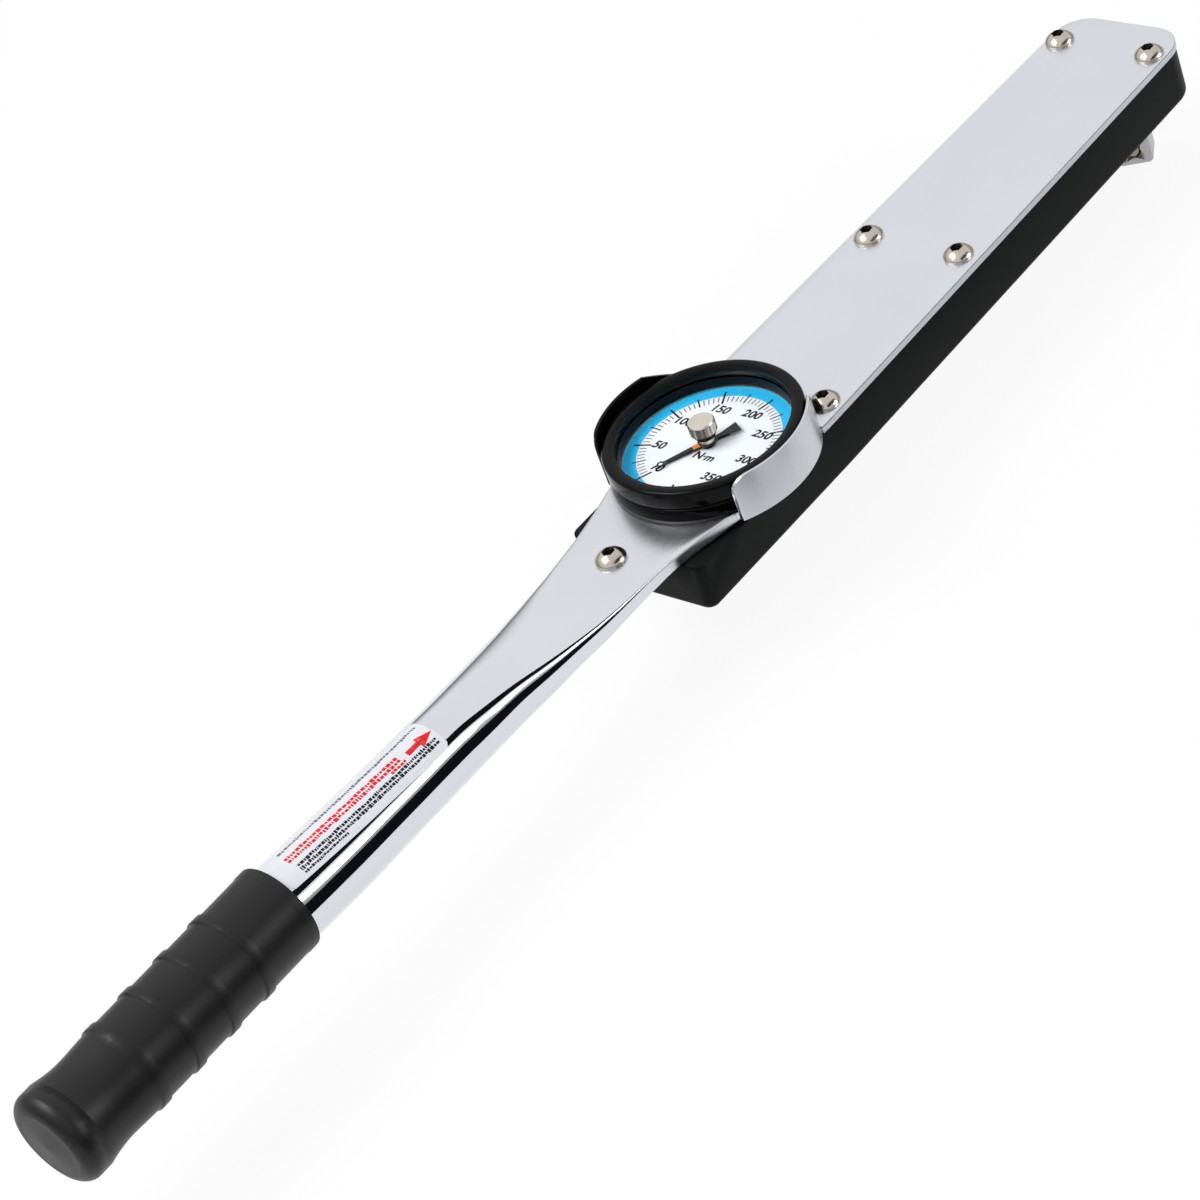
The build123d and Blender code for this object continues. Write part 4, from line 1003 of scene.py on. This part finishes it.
# One facet in this many is a groove of the knurl
KNURL_FACETS = 3
KNOB_HEIGHT = 0.0042
knob_low, knob_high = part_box("reset_knob")
KNOB_RADIUS = (knob_high[0] - knob_low[0]) / 2
KNOB_UNDER = knob_high[2] - KNOB_HEIGHT
STEM_RADIUS = 0.0027
RIVET_RADIUS = 0.0022
RIVET_END = knob_low[2] + 0.0003
FOOT_BEVEL = 0.00025
# Radius and height from the rivet up to the middle of the top, and the share of the knurl
KNOB_OUTLINE = (
    (0.0, knob_low[2], 0),
    (RIVET_RADIUS, knob_low[2], 0),
    (RIVET_RADIUS, RIVET_END, 0),
    (STEM_RADIUS, RIVET_END, 0),
    (STEM_RADIUS, KNOB_UNDER, 0),
    (KNOB_RADIUS - FOOT_BEVEL, KNOB_UNDER, 0),
    (KNOB_RADIUS, KNOB_UNDER + FOOT_BEVEL, 0),
    (KNOB_RADIUS, KNOB_UNDER + 2 * FOOT_BEVEL, 1),
    (KNOB_RADIUS, knob_high[2] - 0.0007, 1),
    (KNOB_RADIUS - 0.00005, knob_high[2] - 0.00045, 0),
    (KNOB_RADIUS - 0.0004, knob_high[2], 0),
    (0.0, knob_high[2], 0),
)

# Painted reflections: the knurl's side takes upright streaks of these dark and bright tones, standing in for
# its glints
KNURL_REFLECTION_TONES = ("#5E5852", "#D6CDC3")
STREAK_WIDTH = 0.0012
STREAK_SQUEEZE = 0.02
STREAK_SPAN = (0.42, 0.58)
# How far the plain bright tone reaches down from the top, and how far under the knob it starts
FACE_DEPTH = 0.00044
STEM_GAP = 0.00001

# Bright turned stainless
knob_steel = turned("knob_stainless", ("#DCD3CA", "#CFC5BB"), (0.16, 0.26), 0.00035, DIAL_PLACE, 0.000001)
material, tree, shader, parts = knob_steel
squeezed = {"Vector": parts["spot"], "Scale": (1, 1, STREAK_SQUEEZE)}
streaked = add_node(tree, "ShaderNodeMapping", squeezed).outputs[0]
streaks = add_node(
    tree, "ShaderNodeTexNoise", {"Vector": streaked, "Scale": 1 / STREAK_WIDTH, "Detail": 1.0}
).outputs["Fac"]
contrast = add_node(
    tree, "ShaderNodeMapRange", {"Value": streaks, "From Min": STREAK_SPAN[0], "From Max": STREAK_SPAN[1]}
)
# Painted reflection: dark and bright streaks down the knurl's side
painted_knurl_reflections = add_node(
    tree,
    "ShaderNodeMix",
    {"Factor": contrast.outputs["Result"], 6: linear(KNURL_REFLECTION_TONES[0]), 7: linear(KNURL_REFLECTION_TONES[1])},
    data_type="RGBA",
)
rise = add_node(tree, "ShaderNodeSeparateXYZ", {0: parts["spot"]}).outputs["Z"]
faced = add_node(
    tree, "ShaderNodeMath", {0: rise, 1: knob_high[2] - FACE_DEPTH}, operation="GREATER_THAN"
).outputs[0]
stem = add_node(
    tree, "ShaderNodeMath", {0: rise, 1: KNOB_UNDER - STEM_GAP}, operation="LESS_THAN"
).outputs[0]
plain = add_node(tree, "ShaderNodeMath", {0: faced, 1: stem}, operation="MAXIMUM").outputs[0]
knob_tone = add_node(
    tree,
    "ShaderNodeMix",
    {"Factor": plain, 6: painted_knurl_reflections.outputs[2], 7: parts["colour"]},
    data_type="RGBA",
)
tree.links.new(knob_tone.outputs[2], shader.inputs["Base Color"])
knob_part = bmesh.new()
knob_rows = []
for radius, height, knurl in KNOB_OUTLINE:
    row = []
    for number in range(KNOB_TURNS):
        angle = 2 * math.pi * number / KNOB_TURNS
        reach = max(radius - knurl * KNURL_DEPTH * (number % KNURL_FACETS == 0), 0)
        row.append((DIAL_PLACE[0] + reach * math.cos(angle), reach * math.sin(angle), height))
    knob_rows.append(row)
skinned(knob_part, knob_rows)
bmesh.ops.remove_doubles(knob_part, verts=knob_part.verts, dist=WELD)
bmesh.ops.recalc_face_normals(knob_part, faces=knob_part.faces)
stand_in("turned_knob", "reset_knob", knob_part, knob_steel)

# Screws: stainless button heads with hexagon sockets, tumbled bright. The six plate screws
# bite into the cover's bosses; the neck screw holds the anchor block with a plated nut.
HEAD_RADIUS = 0.00525
HEAD_RIM = 0.0008
DOME_RADIUS = 0.0061
SOCKET_WIDTH = 0.0040
SOCKET_DEPTH = 0.0020
SHANK_RADIUS = 0.0030
SHANK_SIDES = 32
HEAD_TURNS = 72
HEAD_STEPS = 40
# Shares of the way over the head where its rim, its dome and its socket wall end
RIM_END = 0.10
DOME_END = 0.75
WALL_END = 0.90
# Painted shade in the sockets: its tone, and the share of the way down their walls where it starts
SOCKET_SHADE = "#2E2925"
SOCKET_SHADE_START = 0.4


def screw_tree():
    """Button-head screws on the points it is given: rim, dome, hexagon socket and shank."""
    head_sizes = ("Head Radius", "Rim", "Dome Radius", "Socket Width", "Socket Depth")
    sizes = (*head_sizes, "Shank Radius", "Shank Length")
    group, given, inputs = new_group("button_screws", ("Places", "Geometry"), sizes, ("Steel", "Material"))
    sheet = add_node(
        group,
        "GeometryNodeMeshGrid",
        {"Size X": 1.0, "Size Y": 1.0, "Vertices X": HEAD_TURNS + 1, "Vertices Y": HEAD_STEPS + 1},
    )
    spot = add_node(group, "GeometryNodeInputPosition").outputs[0]
    place = add_node(group, "ShaderNodeSeparateXYZ", {0: spot}).outputs
    angle = add_node(
        group, "ShaderNodeMath", {0: place["X"], 1: 2 * math.pi}, operation="MULTIPLY"
    ).outputs[0]
    shares = [
        add_node(
            group,
            "ShaderNodeMapRange",
            {"Value": place["Y"], "From Min": start - 0.5, "From Max": end - 0.5},
        ).outputs["Result"]
        for start, end in ((0, RIM_END), (RIM_END, DOME_END), (DOME_END, WALL_END), (WALL_END, 1))
    ]
    # The hexagon's edge: half its width over the cosine of the angle from its nearest flat
    sixth = add_node(group, "ShaderNodeMath", {0: angle, 1: math.pi / 3}, operation="FLOORED_MODULO")
    from_flat = add_node(
        group, "ShaderNodeMath", {0: sixth.outputs[0], 1: math.pi / 6}, operation="SUBTRACT"
    )
    fall = add_node(group, "ShaderNodeMath", {0: from_flat.outputs[0]}, operation="COSINE")
    half_width = add_node(
        group, "ShaderNodeMath", {0: given["Socket Width"], 1: 0.5}, operation="MULTIPLY"
    )
    hexagon = add_node(
        group, "ShaderNodeMath", {0: half_width.outputs[0], 1: fall.outputs[0]}, operation="DIVIDE"
    )
    dome_reach = add_node(
        group,
        "ShaderNodeMapRange",
        {"Value": shares[1], "To Min": given["Head Radius"], "To Max": hexagon.outputs[0]},
    ).outputs["Result"]
    reach = add_node(
        group,
        "ShaderNodeMapRange",
        {"Value": shares[3], "To Min": dome_reach, "To Max": 0.0},
    ).outputs["Result"]
    # Height: the rim, then the dome's arc, less the socket's wall
    squares = [
        add_node(group, "ShaderNodeMath", {0: value, 1: 2.0}, operation="POWER").outputs[0]
        for value in (given["Dome Radius"], dome_reach, given["Head Radius"])
    ]
    arcs = []
    for square in squares[1:]:
        left = add_node(group, "ShaderNodeMath", {0: squares[0], 1: square}, operation="SUBTRACT")
        arcs.append(add_node(group, "ShaderNodeMath", {0: left.outputs[0]}, operation="SQRT").outputs[0])
    dome = add_node(group, "ShaderNodeMath", {0: arcs[0], 1: arcs[1]}, operation="SUBTRACT")
    risen = add_node(
        group,
        "ShaderNodeMath",
        {0: shares[0], 1: given["Rim"], 2: dome.outputs[0]},
        operation="MULTIPLY_ADD",
    )
    sunk = add_node(
        group, "ShaderNodeMath", {0: shares[2], 1: given["Socket Depth"]}, operation="MULTIPLY"
    )
    height = add_node(
        group, "ShaderNodeMath", {0: risen.outputs[0], 1: sunk.outputs[0]}, operation="SUBTRACT"
    ).outputs[0]
    across, up = [
        add_node(group, "ShaderNodeMath", {0: angle}, operation=way).outputs[0] for way in ("COSINE", "SINE")
    ]
    flat = [
        add_node(group, "ShaderNodeMath", {0: reach, 1: way}, operation="MULTIPLY").outputs[0]
        for way in (across, up)
    ]
    formed = add_node(group, "ShaderNodeCombineXYZ", {0: flat[0], 1: flat[1], 2: height})
    marked = add_node(
        group,
        "GeometryNodeStoreNamedAttribute",
        {"Geometry": sheet.outputs["Mesh"], "Name": "socket", "Value": shares[2]},
        data_type="FLOAT",
        domain="POINT",
    )
    head = add_node(
        group,
        "GeometryNodeSetPosition",
        {"Geometry": marked.outputs[0], "Position": formed.outputs[0]},
    )
    closed = add_node(
        group, "GeometryNodeMergeByDistance", {"Geometry": head.outputs[0], "Distance": WELD}
    )
    shank = add_node(
        group,
        "GeometryNodeMeshCylinder",
        {"Vertices": SHANK_SIDES, "Radius": given["Shank Radius"], "Depth": given["Shank Length"]},
    )
    middle = add_node(
        group, "ShaderNodeMath", {0: given["Shank Length"], 1: -0.5}, operation="MULTIPLY"
    )
    lowered = add_node(group, "ShaderNodeCombineXYZ", {2: middle.outputs[0]})
    hung = add_node(
        group,
        "GeometryNodeTransform",
        {"Geometry": shank.outputs["Mesh"], "Translation": lowered.outputs[0]},
    )
    screw = group.nodes.new("GeometryNodeJoinGeometry")
    group.links.new(closed.outputs[0], screw.inputs[0])
    group.links.new(hung.outputs[0], screw.inputs[0])
    set_out = add_node(
        group,
        "GeometryNodeInstanceOnPoints",
        {"Points": given["Places"], "Instance": screw.outputs[0]},
    )
    end_group(group, set_out, given["Steel"])
    return group, inputs


# Stainless steel, tumbled until its edges are soft
screw_steel = finish(
    "tumbled_stainless", ("#C9C0B6", "#B3AAA0"), 0.003, (0.14, 0.24), 0.0014, 0.0000012, metal=1.0
)
material, tree, shader, parts = screw_steel
# Painted shade: each socket's walls darken towards the bottom of the hole
depth = add_node(tree, "ShaderNodeAttribute", attribute_name="socket").outputs["Fac"]
shaded = add_node(
    tree, "ShaderNodeMapRange", {"Value": depth, "From Min": SOCKET_SHADE_START, "From Max": 1.0}
).outputs["Result"]
socket_shaded = add_node(
    tree, "ShaderNodeMix", {"Factor": shaded, 6: parts["colour"], 7: linear(SOCKET_SHADE)},
    data_type="RGBA",
)
tree.links.new(socket_shaded.outputs[2], shader.inputs["Base Color"])
screw_group, screw_inputs = screw_tree()
PLATE_TOP = STATIONS[0][2]
for node in ("head_screws", "middle_screws", "dial_side_screws", "neck_screw"):
    low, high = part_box(node)
    side = high[1] - HEAD_RADIUS
    x = (low[0] + high[0]) / 2
    spots = bpy.data.meshes.new(node)
    spots.from_pydata(sorted({(x, round(y, 6), PLATE_TOP) for y in (side, -side)}), [], [])
    screws = grown(
        f"button_{node}",
        spots,
        screw_group,
        screw_inputs,
        {
            "Head Radius": HEAD_RADIUS,
            "Rim": HEAD_RIM,
            "Dome Radius": DOME_RADIUS,
            "Socket Width": SOCKET_WIDTH,
            "Socket Depth": SOCKET_DEPTH,
            "Shank Radius": SHANK_RADIUS,
            "Shank Length": PLATE_TOP - low[2],
            "Steel": screw_steel[0],
        },
    )
    work = bmesh.new()
    work.from_mesh(screws.data)
    bpy.data.objects.remove(screws)
    bmesh.ops.recalc_face_normals(work, faces=work.faces)
    stand_in(f"button_{node}", node, work, screw_steel)
dress(["arm_screws", "bridge_screws"], screw_steel)
# Zinc plated nut
zinc_plate = finish(
    "zinc_plate", ("#B9BCC0", "#A2A5AA"), 0.003, (0.26, 0.38), 0.0014, 0.000003, metal=1.0
)
dress(["neck_nut"], zinc_plate)

# Grip: a rubber sleeve moulded with four raised bands, pushed on the tube and closed by a
# domed plug of the same rubber. The mould leaves a matte skin with a fine tooth.

# Moulded natural rubber
grip_rubber = finish(
    "grip_rubber", ("#0D0D0D", "#131313"), 0.018, (0.36, 0.46), 0.00045, 0.000003, specular=0.30
)
stand_in("grip_sleeve", "grip", welded("grip"), grip_rubber)
stand_in("grip_plug", "grip_end_cap", welded("grip_end_cap"), grip_rubber)

# Sticker: white polyester film on the tube between neck and grip. It carries an arrow that
# points to the head and rows of plain uneven marks, and no words.
STICKER_CORNER = 0.0016
FILM = 0.00006
INK_ON_FILM = 0.00003
# The tube's radius under the film, for its corners alone
FILM_RADIUS = 0.0125


def on_tube(x, degrees, lift):
    """A point on the tube: degrees from the top towards the near side, raised by lift."""
    half, top, depth, power = faired(STATIONS, NECK_START_X - x)
    angle = math.radians(degrees)
    reach = depth / 2 + lift
    return Vector((x, -reach * math.sin(angle), top - depth / 2 + reach * math.cos(angle)))


def wrapped(name, rows, lift, made):
    """A patch laid on the tube from rows of (x, degrees) points, each row as long as the next."""
    points = [on_tube(x, degrees, lift) for row in rows for x, degrees in row]
    wide = len(rows[0])
    faces = [
        (r * wide + c, (r + 1) * wide + c, (r + 1) * wide + c + 1, r * wide + c + 1)
        for r in range(len(rows) - 1)
        for c in range(wide - 1)
    ]
    patch = put_mesh(name, points, faces, made[0])
    patch.data.shade_smooth()
    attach(patch, "frame")


# White polyester film, red and grey ink
film_white = finish("white_film", ("#D4D6DA", "#DDDEE1"), 0.004, (0.28, 0.36), 0.002, 0.000001, specular=0.4)
film_red = finish("red_ink", ("#DE1218", "#C90E14"), 0.002, (0.34, 0.42), 0.001, 0.000001, specular=0.3)
film_grey = finish("grey_ink", ("#5C5E63", "#73757A"), 0.002, (0.36, 0.44), 0.001, 0.000001, specular=0.3)

FILM_STEPS = 50
FILM_COLUMNS = 30
# Where the film starts and ends, with its upper and lower edges there in degrees
FILM_FRONT = (-0.3788, -24.0, 53.0)
FILM_REAR = (-0.4500, -31.0, 43.0)
film_rows = []
for step in range(FILM_STEPS + 1):
    share = step / FILM_STEPS
    x, upper, lower = (a + (b - a) * share for a, b in zip(FILM_FRONT, FILM_REAR))
    to_end = min(abs(x - FILM_FRONT[0]), abs(x - FILM_REAR[0]))
    cut = 0.0
    if to_end < STICKER_CORNER:
        cut = STICKER_CORNER - math.sqrt(STICKER_CORNER**2 - (STICKER_CORNER - to_end) ** 2)
    turn = math.degrees(cut / FILM_RADIUS)
    span = lower - upper - 2 * turn
    film_rows.append([(x, upper + turn + span * c / FILM_COLUMNS) for c in range(FILM_COLUMNS + 1)])
wrapped("sticker", film_rows, FILM, film_white)

# The arrow's outline from its tip, x and half height in degrees, along its own middle line
ARROW = ((-0.3792, 0.2), (-0.3822, 5.4), (-0.3852, 10.5), (-0.3852, 4.3), (-0.3905, 4.3))
ARROW_MIDDLE = 18.5
ARROW_COLUMNS = 8
across = [2 * c / ARROW_COLUMNS - 1 for c in range(ARROW_COLUMNS + 1)]
arrow_rows = [[(x, ARROW_MIDDLE + half * share) for share in across] for x, half in ARROW]
wrapped("sticker_arrow", arrow_rows, FILM + INK_ON_FILM, film_red)

# Each row of marks: ink, start x, end x, degrees at its start and end, half height in
# degrees, and the longest mark in metres
MARKS = {
    "grey_row": (film_grey, -0.3805, -0.4425, -7.0, -12.5, 3.4, 0.0014),
    "first_red_row": (film_red, -0.3935, -0.4430, 10.0, 4.0, 3.3, 0.0016),
    "second_red_row": (film_red, -0.3935, -0.4430, 17.2, 11.2, 3.3, 0.0016),
    "third_red_row": (film_red, -0.3925, -0.3990, 23.6, 22.9, 2.6, 0.0014),
    "first_black_row": (dial_ink, -0.3805, -0.4425, 31.0, 23.5, 3.0, 0.0013),
    "second_black_row": (dial_ink, -0.3805, -0.4425, 37.4, 29.9, 3.0, 0.0013),
    "short_row": (dial_ink, -0.4235, -0.4425, 38.0, 36.4, 2.2, 0.0011),
}
# Shares of the longest mark or the half height: the space, the shortest and the lowest mark
SPACE_SHARE = 0.2
SHORTEST_SHARE = 0.3
LOWEST_SHARE = 0.45
dice = random.Random(7)
for row_name, (made, start, end, first_turn, last_turn, half, longest) in MARKS.items():
    points, faces, x = [], [], start
    while x > end:
        mark = longest * dice.uniform(SHORTEST_SHARE, 1.0)
        low = -half * dice.uniform(LOWEST_SHARE, 1.0)
        high = half * dice.uniform(LOWEST_SHARE, 1.0)
        first = len(points)
        for step_x in (x, max(x - mark, end)):
            degrees = first_turn + (last_turn - first_turn) * (step_x - start) / (end - start)
            points += [on_tube(step_x, degrees + side, FILM + INK_ON_FILM) for side in (low, 0, high)]
        faces += [(first, first + 3, first + 4, first + 1), (first + 1, first + 4, first + 5, first + 2)]
        x -= mark + longest * SPACE_SHARE
    row = put_mesh(row_name, points, faces, made[0])
    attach(row, "frame")
